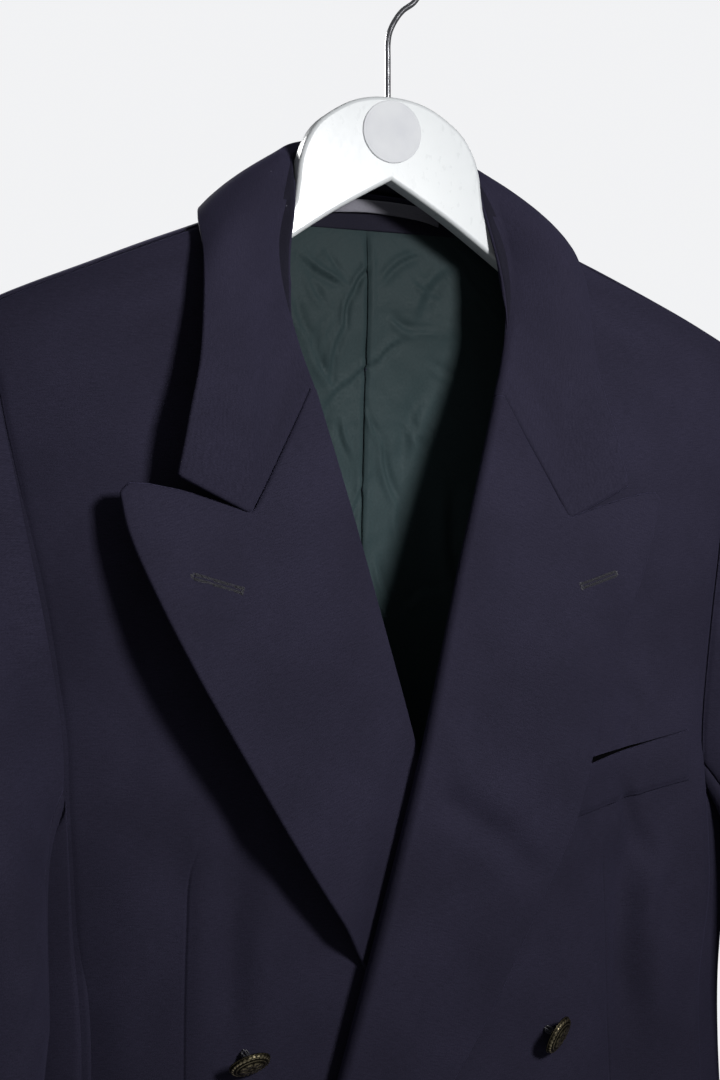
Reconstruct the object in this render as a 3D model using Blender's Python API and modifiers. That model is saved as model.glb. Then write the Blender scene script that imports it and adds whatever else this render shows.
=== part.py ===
"""Double breasted blazer on a plain hanger, hung by its hook.

Units in the tables are millimetres, and MM turns them into Blender's metres. The origin is where the hook
bears on a rail: +Z is up, the garment's front faces -Y, and +X is the wearer's left. Left and right in the
names are the wearer's. The left front closes over the right one.
"""

from math import cos, pi, radians, sin

import bmesh
import bpy
import numpy as np
from mathutils import Vector

for old in list(bpy.data.objects):
    bpy.data.objects.remove(old, do_unlink=True)

MM = 0.001

# Driving sizes
WALL = 1.8  # body, sleeve and lining cloth
LAPEL_WALL = 2.4  # two layers of cloth with canvas between them
SEAM = 0.3  # gap between two pieces at a seam
HEM_Z = -900.0
NAPE_Z = -137.0
NECK_Z = -154.0  # where the shoulder seam starts, at the side of the neck
SHOULDER_Z = -226.0  # where it ends, at the sleeve head
CUFF_Z = -846.0
FRONT_EDGE_X = 78.0  # how far each front reaches past the centre
BREAK_Z = -712.0  # where the lapels end, just above the closing buttons
OVERLAP_RISE = 10.0  # how far the left front lies out over the right one and its lapel
FRONT_SEAM_T = 0.80  # front to side panel seam, as a share of the front half girth
BACK_SEAM_T = 1.22  # side panel to back seam; 1 is the side and 2 the centre back
BUTTON_DIA = 22.0
CUFF_BUTTON_DIA = 15.0
HANGER_THICK = 12.0
WIRE_DIA = 3.2

# The body's level sections: half width, depths of front and back from the hanger's plane, how square each
# is, and how far the level tilts down towards the front, which brings the shoulder seam forwards.
BODY = {
    "z": (-100, -137, -154, -160, -167, -181, -195, -209, -218, -226, -260, -320),
    "half_width": (80, 80, 81, 90, 104, 138, 171, 203, 221, 232, 234, 234),
    "front": (9, 9, 11, 12, 13, 15.5, 18, 20, 21.5, 22.5, 27, 33),
    "back": (34, 36, 37, 37, 36, 35, 34, 34, 34, 34.5, 38, 42),
    "square": (2.1, 2.1, 2.1, 2.1, 2.1, 2.1, 2.1, 2.1, 2.1, 2.1, 2.2, 2.3),
    "tilt": (0.0, 0.0, 0.2, 0.26, 0.32, 0.4, 0.44, 0.45, 0.45, 0.44, 0.36, 0.2),
}
BODY_LOW = {
    "z": (-400, -480, -530, -590, -660, -760, -840, -905),
    "half_width": (232, 227, 219, 212, 213, 219, 224, 227),
    "front": (37, 40, 41, 41, 42, 44, 45, 46),
    "back": (45, 47, 46, 45, 47, 50, 52, 53),
    "square": (2.4, 2.4, 2.4, 2.4, 2.4, 2.4, 2.4, 2.4),
    "tilt": (0.05, 0.0, 0.0, 0.0, 0.0, 0.0, 0.0, 0.0),
}
for column in BODY:
    BODY[column] = BODY[column] + BODY_LOW[column]

# Armhole seam: turn around the hole from the shoulder (0) by the front (90) and the underarm (180), the
# share of the girth as in FRONT_SEAM_T, and the level.
ARMHOLE = {
    "turn": (0, 18, 40, 62, 82, 98, 112, 140, 165, 190, 215, 240, 262, 285, 312, 340, 360),
    "girth": (1, 0.925, 0.882, 0.84, 0.80, 0.776, 0.775, 0.80, 0.90, 1.02, 1.13, 1.22, 1.235, 1.205, 1.15, 1.08, 1),
    "level": (-226, -243, -282, -333, -385, -432, -460, -484, -498, -501, -494, -470, -430, -375, -305, -250, -226),
}

# Roll line of each front as (side, then x and z from the neck down), and the outer edge of each lapel.
GORGE = {"x": (57, 93), "z": (-260, -327)}
COLLAR_POINT = (131.5, -308.0)
PEAK = {
    "left": {"x": (93, 109, 127, 143, 152, 155), "z": (-327, -322, -316.5, -312.5, -312, -315)},
    "right": {"x": (93, 110, 130, 148, 158, 162), "z": (-327, -322, -317, -314, -314, -318)},
}
LAPEL_EDGE = {
    "left": {
        "z": (-315, -347, -391, -425, -455, -493, -541, -589, -627, -662, -692, BREAK_Z),
        "x": (155, 145, 126, 111, 100, 86, 61, 36, 12, -16, -43, -61),
    },
    "right": {
        "z": (-318, -337, -371, -409, -439, -463, -488, -512, -556, -610, -665, BREAK_Z),
        "x": (162.4, 158.9, 145.9, 127.8, 111.2, 97.2, 82.1, 66.5, 36.4, 5.7, -30, -57),
    },
}
ROLL = {"left": {"z": (-260, BREAK_Z), "x": (57, -72)}, "right": {"z": (-260, BREAK_Z), "x": (57, -68)}}
# Height of the lapel's face over the body: down the lapel, at the roll, at mid width and at the edge.
LAPEL_LIFT = {
    "left": {"down": (0, 0.2, 0.45, 0.7, 1), "roll": (5, 5, 4.6, 4, 3.2), "mid": (8, 9, 9, 7, 3.4),
             "edge": (8, 8, 9, 7, 3.2)},
    "right": {"down": (0, 0.2, 0.42, 0.6, 0.8, 1), "roll": (5, 5, 5, 4.8, 4.2, 3.4),
              "mid": (11.5, 18, 16, 9.5, 5, 3.4), "edge": (22, 37, 32, 17, 7, 3.4)},
}
# Collar fall from the centre back round to the front end, as x, y, z of its fold, middle and outer edge.
COLLAR = {
    "round": (0, 0.14, 0.28, 0.40, 0.50, 0.62, 0.75, 0.88, 1),
    "fold": ((0, 38, -108), (33, 34, -110), (56, 18, -119), (63.5, 3, -130), (67.5, -7, -152),
             (71.5, -14, -181), (70, -22, -212), (64, -28, -238), (57, -33, -260)),
    "middle": ((0, 46, -130), (42, 42, -131), (74, 24, -135), (89, 1, -143), (94, -20, -166),
               (95, -27, -197), (94, -32, -229), (94, -36, -262), (95, -41, -292)),
    "edge": ((0, 49, -159), (50, 47, -158), (92, 34, -157), (111, 0, -162), (114, -20, -187),
             (115, -26, -216), (118, -31, -248), (125, -35, -279), (132, -37, -309)),
}
# The collar's right half stands further off the shoulder than the left: how far round, and by how much.
STAND_OFF = {"round": (0.40, 0.50, 0.62, 0.75, 0.88, 1), "more": (0, 3, 10, 15, 17, 13)}
STAND_OFF_WAY = np.array((0.28, -0.95, -0.1))
# Sleeve below the underarm: level, centre, half length and half width of its oval, and the oval's turn.
SLEEVE = {
    "z": (-575, -640, -720, -790, CUFF_Z),
    "x": (257, 262, 267, 270, 271),
    "y": (-27, -30, -36, -42, -47),
    "long": (75, 72, 66, 60, 55),
    "short": (43, 42, 40, 38, 36),
}
SLEEVE_TURN = radians(30)
# Hanger outline, from the middle of the top edge out to the tip and back below.
HANGER = {
    "x": (0, 12, 23, 34, 44, 50.5, 54.5, 56, 58.5, 71, 90, 110, 132, 160, 190, 212, 219, 219, 210, 186, 156, 126,
          96, 68, 36, 16, 0),
    "z": (-91, -92, -95, -101, -109, -119, -131, -144, -156, -167, -177.5, -188, -198, -211, -225, -236, -242,
          -249, -254, -245, -231, -217, -201, -181, -159, -147, -138),
}


def smooth(x, xs, ys):
    """A smooth curve through the points (xs, ys), read at every x."""
    xs, ys = np.array(xs, float), np.array(ys, float)
    if xs[0] > xs[-1]:
        xs, ys = xs[::-1], ys[::-1]
    x = np.clip(np.asarray(x, float), xs[0], xs[-1])
    step = np.diff(xs)
    slope = (np.diff(ys, axis=0).T / step).T
    tangent = np.empty_like(ys)
    tangent[0], tangent[-1] = slope[0], slope[-1]
    tangent[1:-1] = (slope[:-1] + slope[1:]) / 2
    i = np.clip(np.searchsorted(xs, x) - 1, 0, len(step) - 1)
    u = (x - xs[i]) / step[i]
    h = step[i]
    if ys.ndim > 1:
        u, h = u[..., None], h[..., None]
    return (
        (2 * u**3 - 3 * u**2 + 1) * ys[i]
        + (u**3 - 2 * u**2 + u) * h * tangent[i]
        + (3 * u**2 - 2 * u**3) * ys[i + 1]
        + (u**3 - u**2) * h * tangent[i + 1]
    )


def ease(x, low, high):
    """0 at low, 1 at high, and soft at both ends."""
    u = np.clip((np.asarray(x, float) - low) / (high - low), 0, 1)
    return u * u * (3 - 2 * u)


# Share of a typical quarter section's length against its angle, so that the girth is even along the cloth.
ANGLES = np.linspace(0, pi / 2, 1500)
_arc = np.stack((222 * np.sin(ANGLES) ** (2 / 2.35), -42 * np.cos(ANGLES) ** (2 / 2.35)), axis=1)
SHARES = np.concatenate(([0], np.cumsum(np.linalg.norm(np.diff(_arc, axis=0), axis=1))))
SHARES /= SHARES[-1]


def body_point(girth, level):
    """A point of the body's outer face. Girth is 0 at the centre front, 1 at the side, 2 at the back."""
    girth, level = np.broadcast_arrays(np.asarray(girth, float), np.asarray(level, float))
    size = {name: smooth(level, BODY["z"], BODY[name]) for name in BODY if name != "z"}
    side = np.sign(girth)
    share = np.abs(girth)
    behind = share > 1
    angle = np.interp(np.where(behind, 2 - share, share), SHARES, ANGLES)
    power = 2 / size["square"]
    x = side * size["half_width"] * np.sin(angle) ** power
    y = np.where(behind, size["back"], -size["front"]) * np.clip(np.cos(angle), 0, 1) ** power
    return np.stack((x, y, level + size["tilt"] * y), axis=-1)


def body_normal(girth, level):
    """The outward direction there."""
    d = 0.004
    girth = np.asarray(girth, float)
    along = body_point(girth + d, level) - body_point(girth - d, level)
    up = body_point(girth, level + 1.0) - body_point(girth, level - 1.0)
    n = np.cross(along, up)
    return n / np.linalg.norm(n, axis=-1, keepdims=True)


def on_body(x, z, behind=False):
    """The girth and level at which the front (or the back) of the body has this x and z."""
    x, z = np.asarray(x, float), np.asarray(z, float)
    depth = "back" if behind else "front"
    level = z.copy()
    for _ in range(12):
        half = smooth(level, BODY["z"], BODY["half_width"])
        power = smooth(level, BODY["z"], BODY["square"]) / 2
        angle = np.arcsin(np.clip(np.abs(x) / half, 0, 1) ** power)
        y = smooth(level, BODY["z"], BODY[depth]) * np.clip(np.cos(angle), 0, 1) ** (1 / power)
        level = z - smooth(level, BODY["z"], BODY["tilt"]) * (y if behind else -y)
    share = np.interp(angle, ANGLES, SHARES)
    return np.where(x < 0, -1, 1) * (2 - share if behind else share), level


def raised(girth, level, lift):
    return body_point(girth, level) + body_normal(girth, level) * np.asarray(lift, float)[..., None]


def mirrored(points):
    return points * np.array((-1, 1, 1))


def material(name, colour, roughness, metallic=0.0):
    made = bpy.data.materials.get(name) or bpy.data.materials.new(name)
    made.use_nodes = True
    shader = made.node_tree.nodes["Principled BSDF"]
    shader.inputs["Base Color"].default_value = (*colour, 1)
    shader.inputs["Roughness"].default_value = roughness
    shader.inputs["Metallic"].default_value = metallic
    return made


WOOL = material("navy_wool", (0.014, 0.013, 0.022), 0.85)
SATIN = material("green_lining", (0.030, 0.045, 0.043), 0.40)
TAPE = material("grey_tape", (0.10, 0.095, 0.12), 0.6)
BRASS = material("aged_brass", (0.32, 0.24, 0.12), 0.4, 1.0)
WHITE = material("white_lacquer", (0.85, 0.85, 0.86), 0.35)
STEEL = material("chrome_wire", (0.6, 0.6, 0.62), 0.2, 1.0)
PAPER = material("plain_paper", (0.55, 0.56, 0.58), 0.6)


def add_object(name, mesh, finish):
    made = bpy.data.objects.new(name, mesh)
    bpy.context.scene.collection.objects.link(made)
    mesh.materials.append(finish)
    for face in mesh.polygons:
        face.use_smooth = True
    return made


def cloth(name, outer, inner, finish, mirror=False, ring=False):
    """A closed wall between two grids of points; a ring's first and last columns are one seamless line."""
    if mirror:
        outer, inner = mirrored(outer), mirrored(inner)
    work = bmesh.new()
    rows, columns = outer.shape[:2]
    faces = [[[work.verts.new(p * MM) for p in row] for row in grid] for grid in (outer, inner)]

    def quad(*corners):
        work.faces.new(corners)

    last = columns if ring else columns - 1
    for grid in faces:
        for i in range(rows - 1):
            for j in range(last):
                k = (j + 1) % columns
                quad(grid[i][j], grid[i][k], grid[i + 1][k], grid[i + 1][j])
    front, back = faces
    for i in (0, rows - 1):
        for j in range(last):
            k = (j + 1) % columns
            quad(front[i][j], back[i][j], back[i][k], front[i][k])
    if not ring:
        for j in (0, columns - 1):
            for i in range(rows - 1):
                quad(front[i][j], front[i + 1][j], back[i + 1][j], back[i][j])
    bmesh.ops.recalc_face_normals(work, faces=work.faces)
    mesh = bpy.data.meshes.new(name)
    work.to_mesh(mesh)
    work.free()
    return add_object(name, mesh, finish)


def body_cloth(name, girth, level, finish, lift=0.0, wall=WALL, mirror=False):
    """A wall of cloth over part of the body's surface."""
    lift = np.broadcast_to(np.asarray(lift, float), girth.shape)
    outer = raised(girth, level, lift)
    return cloth(name, outer, raised(girth, level, lift - wall), finish, mirror)


def grid(columns, rows, ease_rows=1.0):
    """Shares u across and v down, with the first rows closer together when ease_rows is over 1."""
    u, v = np.meshgrid(np.linspace(0, 1, columns), np.linspace(0, 1, rows) ** ease_rows)
    return u, v


def armhole(turn):
    return (smooth(turn, ARMHOLE["turn"], ARMHOLE["girth"]), smooth(turn, ARMHOLE["turn"], ARMHOLE["level"]))


FRONT_TURN = 118.0  # where the armhole passes from the front to the side panel
BACK_TURN = 240.0  # and from the side panel to the back
FRONT_TURNS = FRONT_TURN * np.linspace(0, 1, 9) ** 1.08
SIDE_TURNS = np.linspace(FRONT_TURN, BACK_TURN, 6)
BACK_TURNS = np.linspace(BACK_TURN, 360, 9)
SIDE_ROWS = np.linspace(0, 1, 10)  # down the side seams, shared by the panels on both sides of a seam
HALF_GAP = SEAM / 2 / 245.0  # half a seam's gap as a share of girth


def left_rise(x, z):
    """How far the left front stands out where the right front and its lapel lie below it."""
    return OVERLAP_RISE * (1 - ease(x, 84, 136)) * (0.12 + 0.88 * (1 - ease(z, -470, -330)))


# The inner edge of each front from the side of the neck: the neckline, the roll line and the front edge.
NECKLINE = ((81, -156), (84, -180), (84, -208), (77, -236), (60, -264))
FRONT_EDGE = ((-FRONT_EDGE_X, -745), (-FRONT_EDGE_X, HEM_Z))
INNER_EDGE = {
    "down": (0.0, 0.05, 0.11, 0.17, 0.22, 0.70, 0.76, 1.0),
    "left": (*NECKLINE, (-69.5, BREAK_Z), *FRONT_EDGE),
    "right": (*NECKLINE, (-66, BREAK_Z), *FRONT_EDGE),
}
FRONT_CORNER_DOWN = 0.42  # share of the way down at which the armhole meets the side seam
BACK_CORNER_DOWN = 0.40


def side_seam(turn, seam_girth):
    """Girth and level down the seam that starts where the armhole has this turn."""
    girth, level = armhole(turn)
    return (girth + (seam_girth - girth) * ease(SIDE_ROWS, 0, 0.2), level + (HEM_Z - level) * SIDE_ROWS)


def front_domain(side, columns):
    hole_girth, hole_level = armhole(FRONT_TURNS)
    seam_girth, seam_level = side_seam(FRONT_TURN, FRONT_SEAM_T)
    outer_girth = np.concatenate((hole_girth, seam_girth[1:])) - HALF_GAP
    outer_level = np.concatenate((hole_level, seam_level[1:]))
    down = np.concatenate((FRONT_TURNS / FRONT_TURN * FRONT_CORNER_DOWN,
                           FRONT_CORNER_DOWN + (1 - FRONT_CORNER_DOWN) * SIDE_ROWS[1:]))
    places = np.array(INNER_EDGE[side], float)
    xz = [np.interp(down, INNER_EDGE["down"], places[:, k]) for k in (0, 1)]
    inner_girth, inner_level = on_body(*xz)
    inner_girth[0], inner_level[0] = 1.0 - 3 * HALF_GAP, NECK_Z - 1.0
    outer_girth[0] = inner_girth[0]
    u = np.linspace(0, 1, columns)
    girth = inner_girth[:, None] * (1 - u) + outer_girth[:, None] * u
    level = inner_level[:, None] * (1 - u) + outer_level[:, None] * u
    return girth, level


def make_fronts():
    for side in ("left", "right"):
        girth, level = front_domain(side, 12)
        place = body_point(girth, level)
        lift = left_rise(place[..., 0], place[..., 2]) if side == "left" else 0.0
        body_cloth(side + "_front", girth, level, WOOL, lift, mirror=side == "right")


def make_sides():
    top_girth, top_level = armhole(SIDE_TURNS)
    front_girth, front_level = side_seam(FRONT_TURN, FRONT_SEAM_T)
    back_girth, back_level = side_seam(BACK_TURN, BACK_SEAM_T)
    u = np.linspace(0, 1, len(SIDE_TURNS))
    v = SIDE_ROWS[:, None]
    front_girth, back_girth = front_girth[:, None] + HALF_GAP, back_girth[:, None] - HALF_GAP
    girth = front_girth * (1 - u) + back_girth * u
    level = front_level[:, None] * (1 - u) + back_level[:, None] * u
    fade = (1 - v) ** 3
    girth = girth + (top_girth - (top_girth[0] * (1 - u) + top_girth[-1] * u)) * fade
    level = level + (top_level - (top_level[0] * (1 - u) + top_level[-1] * u)) * (1 - v)
    for side in ("left", "right"):
        body_cloth(side + "_side_panel", girth, level, WOOL, mirror=side == "right")


def make_backs():
    hole_girth, hole_level = armhole(BACK_TURNS[::-1])
    seam_girth, seam_level = side_seam(BACK_TURN, BACK_SEAM_T)
    side_girth = np.concatenate((hole_girth, seam_girth[1:])) + HALF_GAP
    side_level = np.concatenate((hole_level, seam_level[1:]))
    down = np.concatenate((np.linspace(0, BACK_CORNER_DOWN, len(BACK_TURNS)),
                           BACK_CORNER_DOWN + (1 - BACK_CORNER_DOWN) * SIDE_ROWS[1:]))
    u = np.linspace(0, 1, 11)
    centre = 2 - HALF_GAP
    ridge = 1 + 3 * HALF_GAP
    top_girth = np.interp(u, (0, 0.6, 0.7, 0.85, 1.0), (ridge, ridge, 1.28, 1.7, centre))
    top_level = np.interp(u, (0, 0.6, 0.7, 0.85, 1.0), (SHOULDER_Z, NECK_Z - 1, -147, -139, NAPE_Z))
    side_girth[0] = ridge
    bump_girth = top_girth - (ridge + (centre - ridge) * u)
    bump_level = top_level - (SHOULDER_Z + (NAPE_Z - SHOULDER_Z) * u)
    fade = (1 - ease(down, 0, 0.42))[:, None]
    centre_level = (NAPE_Z + (HEM_Z - NAPE_Z) * down)[:, None]
    girth = side_girth[:, None] * (1 - u) + centre * u + bump_girth * fade
    level = side_level[:, None] * (1 - u) + centre_level * u + bump_level * fade
    for side in ("left", "right"):
        body_cloth(side + "_back", girth, level, WOOL, mirror=side == "right")


def lapel_outline(side, u, v):
    """x and z on a lapel: u from the roll line out to the edge, v from the gorge and peak down."""
    roll, edge, peak = ROLL[side], LAPEL_EDGE[side], PEAK[side]
    roll_z = roll["z"][0] + (BREAK_Z - roll["z"][0]) * v
    roll_x = np.interp(roll_z, roll["z"][::-1], roll["x"][::-1])
    edge_z = edge["z"][0] + (BREAK_Z - edge["z"][0]) * v
    edge_x = smooth(edge_z, edge["z"], edge["x"])
    top_x = np.concatenate((GORGE["x"], peak["x"][1:]))
    top_z = np.concatenate((GORGE["z"], peak["z"][1:]))
    reach = np.concatenate(([0], np.cumsum(np.hypot(np.diff(top_x), np.diff(top_z)))))
    reach /= reach[-1]
    bump_x = np.interp(u, reach, top_x) - (top_x[0] + (top_x[-1] - top_x[0]) * u)
    bump_z = np.interp(u, reach, top_z) - (top_z[0] + (top_z[-1] - top_z[0]) * u)
    fade = (1 - ease(v, -0.12, 0.42)) / (1 - ease(0.0, -0.12, 0.42))
    return roll_x + (edge_x - roll_x) * u + bump_x * fade, roll_z + (edge_z - roll_z) * u + bump_z * fade


def lapel_lift(side, u, v):
    """Height of a lapel's face over the body. The right one is held down where the left front covers it."""
    table = LAPEL_LIFT[side]
    roll, mid, edge = (smooth(v, table["down"], table[name]) for name in ("roll", "mid", "edge"))
    lift = roll * (1 - u) * (1 - 2 * u) + 4 * mid * u * (1 - u) + edge * u * (2 * u - 1)
    x, z = lapel_outline(side, u, v)
    if side == "left":
        return lift + left_rise(x, z)
    over = ROLL["left"]
    uncovered = x + np.interp(z, over["z"][::-1], over["x"][::-1])
    held = 1 - ease(uncovered, -1, 26)
    return lift * (1 - held) + np.minimum(lift, OVERLAP_RISE - 4.4) * held


def make_lapels():
    u, v = grid(9, 16)
    for side in ("left", "right"):
        x, z = lapel_outline(side, u, v)
        girth, level = on_body(x - 0.2, z - 0.2)
        body_cloth(side + "_lapel", girth, level, WOOL, lapel_lift(side, u, v), LAPEL_WALL, side == "right")


def collar_faces(round_share, across):
    """Outer face of the fall, on the wearer's left half. across is 0 at the fold and 1 at the edge."""
    rows = {name: smooth(round_share, COLLAR["round"], COLLAR[name]) for name in ("fold", "middle", "edge")}
    w = across[..., None]
    return (rows["fold"] * (1 - w) * (1 - 2 * w) + 4 * rows["middle"] * w * (1 - w)
            + rows["edge"] * w * (2 * w - 1))


def collar_end(across):
    """The fall's front end: the gorge seam, then the short edge out to the collar's point."""
    x = np.array((*GORGE["x"], COLLAR_POINT[0]), float)
    z = np.array((*GORGE["z"], COLLAR_POINT[1]), float)
    reach = np.concatenate(([0], np.cumsum(np.hypot(np.diff(x), np.diff(z)))))
    reach /= reach[-1]
    girth, level = on_body(np.interp(across, reach, x) + 0.15, np.interp(across, reach, z) + 0.2)
    lift = 5 + 5.0 * across
    return raised(girth, level, lift)


def make_collar():
    across = np.linspace(0, 1, 8)
    half = np.linspace(0, 1, 13)
    round_share, w = np.meshgrid(half, across, indexing="ij")
    outer = collar_faces(round_share, w)
    fade = ease(round_share, 0.45, 1.0)[..., None]
    outer = outer + (collar_end(across) - outer[-1])[None] * fade
    along = np.gradient(outer, axis=0)
    over = np.gradient(outer, axis=1)
    normal = np.cross(along, over)
    normal /= np.linalg.norm(normal, axis=-1, keepdims=True)
    normal[0, :, 0] = 0
    inner = outer - normal * LAPEL_WALL
    near_end = ease(round_share, 0.8, 1.0)
    share = w**2 * (1 - near_end) + ease(w, 0.55, 1.0) * near_end
    off = (smooth(round_share, STAND_OFF["round"], STAND_OFF["more"]) * share)[..., None] * STAND_OFF_WAY
    whole = [np.concatenate((mirrored(face + off)[:0:-1], face)) for face in (outer, inner)]
    cloth("collar", *whole, WOOL)


def neck_line(share):
    """The neck seam from the centre back (0) round to the front of the neck (1)."""
    points = ((0, 34, -136), (40, 31, -138), (68, 18, -146), (77.5, 3, -153), (77.5, -8, -167))
    return smooth(share, np.linspace(0, 1, len(points)), points)


def make_stand():
    share = np.linspace(0, 1, 11)
    top = smooth(share * 0.48, COLLAR["round"], COLLAR["fold"])
    bottom = neck_line(share)
    inward = -bottom
    inward[:, 2] = 0
    inward /= np.linalg.norm(inward, axis=1, keepdims=True)
    top = top + inward * (3.2 + 3.2 * share[:, None] ** 2) - np.array((0, 0, 3.4))
    rows = np.linspace(0, 1, 3)[None, :, None]
    outer = top[:, None] * (1 - rows) + (bottom + np.array((0, 0, 0.9)))[:, None] * rows
    inner = outer + inward[:, None] * WALL
    whole = [np.concatenate((mirrored(face)[:0:-1], face)) for face in (outer, inner)]
    cloth("collar_stand", *whole, WOOL)


FACING_Z = -160.0  # lower edge of the facing inside the back of the neck
LINING_Z = -720.0  # where the lining of the back is out of sight from above


def make_inside_back():
    """The lining in two halves, the facing strip over its top and the hanging loop on the strip."""
    u, v = grid(6, 12)
    centre = 2 - HALF_GAP
    first = 1.24 + (1.35 - 1.24) * ease(v, 0, 0.2)
    girth = first + (centre - first) * u
    level = FACING_Z - SEAM - 0.3 + (LINING_Z - FACING_Z) * v
    for side in ("left", "right"):
        body_cloth(side + "_back_lining", girth, level, SATIN, -WALL - 2.2 - 3.0 * (1 - u) ** 2, 1.2, side == "right")
    u, v = grid(15, 3)
    x = -60 + 120 * u
    top = NAPE_Z - 3.5 - 7.5 * (x / 60) ** 2
    girth, _ = on_body(x, -150 + 0 * x, behind=True)
    body_cloth("neck_facing", girth, top + (FACING_Z - top) * v, WOOL, -WALL - 2.2, 1.4)
    u, v = grid(9, 3)
    x = -44 + 88 * u
    top = -142 - 0.0022 * x**2
    girth, _ = on_body(x, -150 + 0 * x, behind=True)
    body_cloth("hanging_loop", girth, top - 10 * v, TAPE, -WALL - 4.2, 1.0)


def sleeve_ring(z, turn):
    """The oval of a hanging sleeve at level z, for turns matched to those of the armhole."""
    size = {name: smooth(z, SLEEVE["z"], SLEEVE[name]) for name in ("x", "y", "long", "short")}
    angle = np.radians(turn)
    out, ahead = np.cos(angle) * size["short"], np.sin(angle) * size["long"]
    c, s = cos(SLEEVE_TURN), sin(SLEEVE_TURN)
    return np.stack((size["x"] + out * c - ahead * s, size["y"] - out * s - ahead * c, z + 0 * angle), axis=-1)


def sleeve_face(turn, down):
    """Outer face of the left sleeve: down is 0 at the armhole, 1 at the underarm's oval and 2 at the cuff."""
    turn, down = np.broadcast_arrays(np.asarray(turn, float), np.asarray(down, float))
    girth, level = armhole(turn)
    start = body_point(girth, level)
    under = (1 - np.cos(np.radians(turn))) / 2
    sway = np.sin(np.radians(turn))
    out = np.stack((1.0 - 0.45 * under, -0.30 * sway, -0.12 - 0.85 * under), axis=-1)
    out /= np.linalg.norm(out, axis=-1, keepdims=True)
    oval = sleeve_ring(np.full(turn.shape, SLEEVE["z"][0], float), turn)
    drop = (start[..., 2] - oval[..., 2])[..., None]
    t = np.clip(down, 0, 1)[..., None]
    start = start + out * SEAM
    p1 = start + out * (12 + 0.12 * drop)
    p2 = oval + np.array((0, 0, 1)) * (0.15 * drop + 0.42 * np.clip(drop - 60, 0, None))
    top = start * (1 - t) ** 3 + 3 * p1 * t * (1 - t) ** 2 + 3 * p2 * t**2 * (1 - t) + oval * t**3
    z = SLEEVE["z"][0] + (CUFF_Z - SLEEVE["z"][0]) * np.clip(down - 1, 0, 1)
    return np.where((down > 1)[..., None], sleeve_ring(z, turn), top)


def make_sleeves():
    """Upper and under sleeve, whose seams start where the armhole meets the side panel's two seams."""
    gap = 0.16
    over = np.concatenate((BACK_TURNS - 360, FRONT_TURNS[1:]))
    under = SIDE_TURNS.copy()
    for turns in (over, under):
        turns[0] += gap
        turns[-1] -= gap
    down = np.concatenate((np.linspace(0, 1, 9) ** 1.2, np.linspace(1, 2, 6)[1:]))
    for name, turns in (("upper_sleeve", over), ("under_sleeve", under)):
        turn, row = np.meshgrid(turns, down)
        step = 0.6
        outer = sleeve_face(np.mod(turn, 360), row)
        along = sleeve_face(np.mod(turn + step, 360), row) - sleeve_face(np.mod(turn - step, 360), row)
        lower = (sleeve_face(np.mod(turn, 360), np.clip(row + 0.01, 0, 2))
                 - sleeve_face(np.mod(turn, 360), np.clip(row - 0.01, 0, 2)))
        normal = np.cross(along, lower)
        normal /= np.linalg.norm(normal, axis=-1, keepdims=True)
        inner = outer - normal * WALL
        for side in ("left", "right"):
            cloth(side + "_" + name, outer, inner, WOOL, side == "right")


def patch(name, corners, columns, rows, lift, wall, side, rise=False):
    """A small piece over a front, between four (x, z) corners: top inner, top outer, low inner, low outer."""
    u, v = grid(columns, rows)
    c = np.array(corners, float)
    top = c[0] * (1 - u[..., None]) + c[1] * u[..., None]
    low = c[2] * (1 - u[..., None]) + c[3] * u[..., None]
    place = top * (1 - v[..., None]) + low * v[..., None]
    girth, level = on_body(place[..., 0], place[..., 1])
    extra = left_rise(place[..., 0], place[..., 1]) if rise else 0.0
    return body_cloth(name, girth, level, WOOL, lift + extra, wall, side == "right")


WELT = ((78, -468.5), (174, -447.5), (78, -494.5), (172, -475))
FLAP_GIRTH = (0.44, 0.96)
FLAP_LEVEL = (-716, -771)


def make_pockets():
    patch("breast_welt", WELT, 7, 3, SEAM + 2.4, 2.0, "left", rise=True)
    u, v = grid(13, 4)
    girth = FLAP_GIRTH[0] + (FLAP_GIRTH[1] - FLAP_GIRTH[0]) * u
    level = FLAP_LEVEL[0] + (FLAP_LEVEL[1] - FLAP_LEVEL[0]) * v - 6 * u
    for side in ("left", "right"):
        place = body_point(girth, level)
        extra = left_rise(place[..., 0], place[..., 2]) if side == "left" else 0.0
        body_cloth(side + "_pocket_flap", girth, level, WOOL, SEAM + 4.0 + extra, 2.4, mirror=side == "right")


def turned(name, profile, finish, steps=16):
    """A turned solid about its own Z axis, from (radius, height) pairs that start and end on the axis."""
    mesh = bpy.data.meshes.new(name)
    points = [(r * MM, 0, h * MM) for r, h in profile]
    mesh.from_pydata(points, [(i, i + 1) for i in range(len(points) - 1)], [])
    made = add_object(name, mesh, finish)
    screw = made.modifiers.new("turn", "SCREW")
    screw.steps = screw.render_steps = steps
    screw.use_merge_vertices = True
    screw.merge_threshold = 0.00001
    screw.use_normal_calculate = True
    return made


def button_profile(dia):
    r = dia / 2
    return ((0, 0), (0.14 * dia, 0), (0.14 * dia, 0.15 * dia), (0.86 * r, 0.17 * dia), (r, 0.21 * dia),
            (r, 0.25 * dia), (0.93 * r, 0.285 * dia), (0.60 * r, 0.325 * dia), (0.25 * r, 0.345 * dia), (0, 0.35 * dia))


def place_button(name, dia, spot, normal, lean=(0.0, 0.0, 0.0), stand=1.0):
    """Stands a button off a spot of the cloth, along the normal with some lean."""
    made = turned(name, button_profile(dia), BRASS)
    axis = np.array(normal) + np.array(lean)
    axis /= np.linalg.norm(axis)
    made.rotation_mode = "QUATERNION"
    made.rotation_quaternion = Vector((0, 0, 1)).rotation_difference(Vector(axis))
    made.location = Vector((np.array(spot) + np.array(normal) * stand) * MM)
    return made


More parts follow.
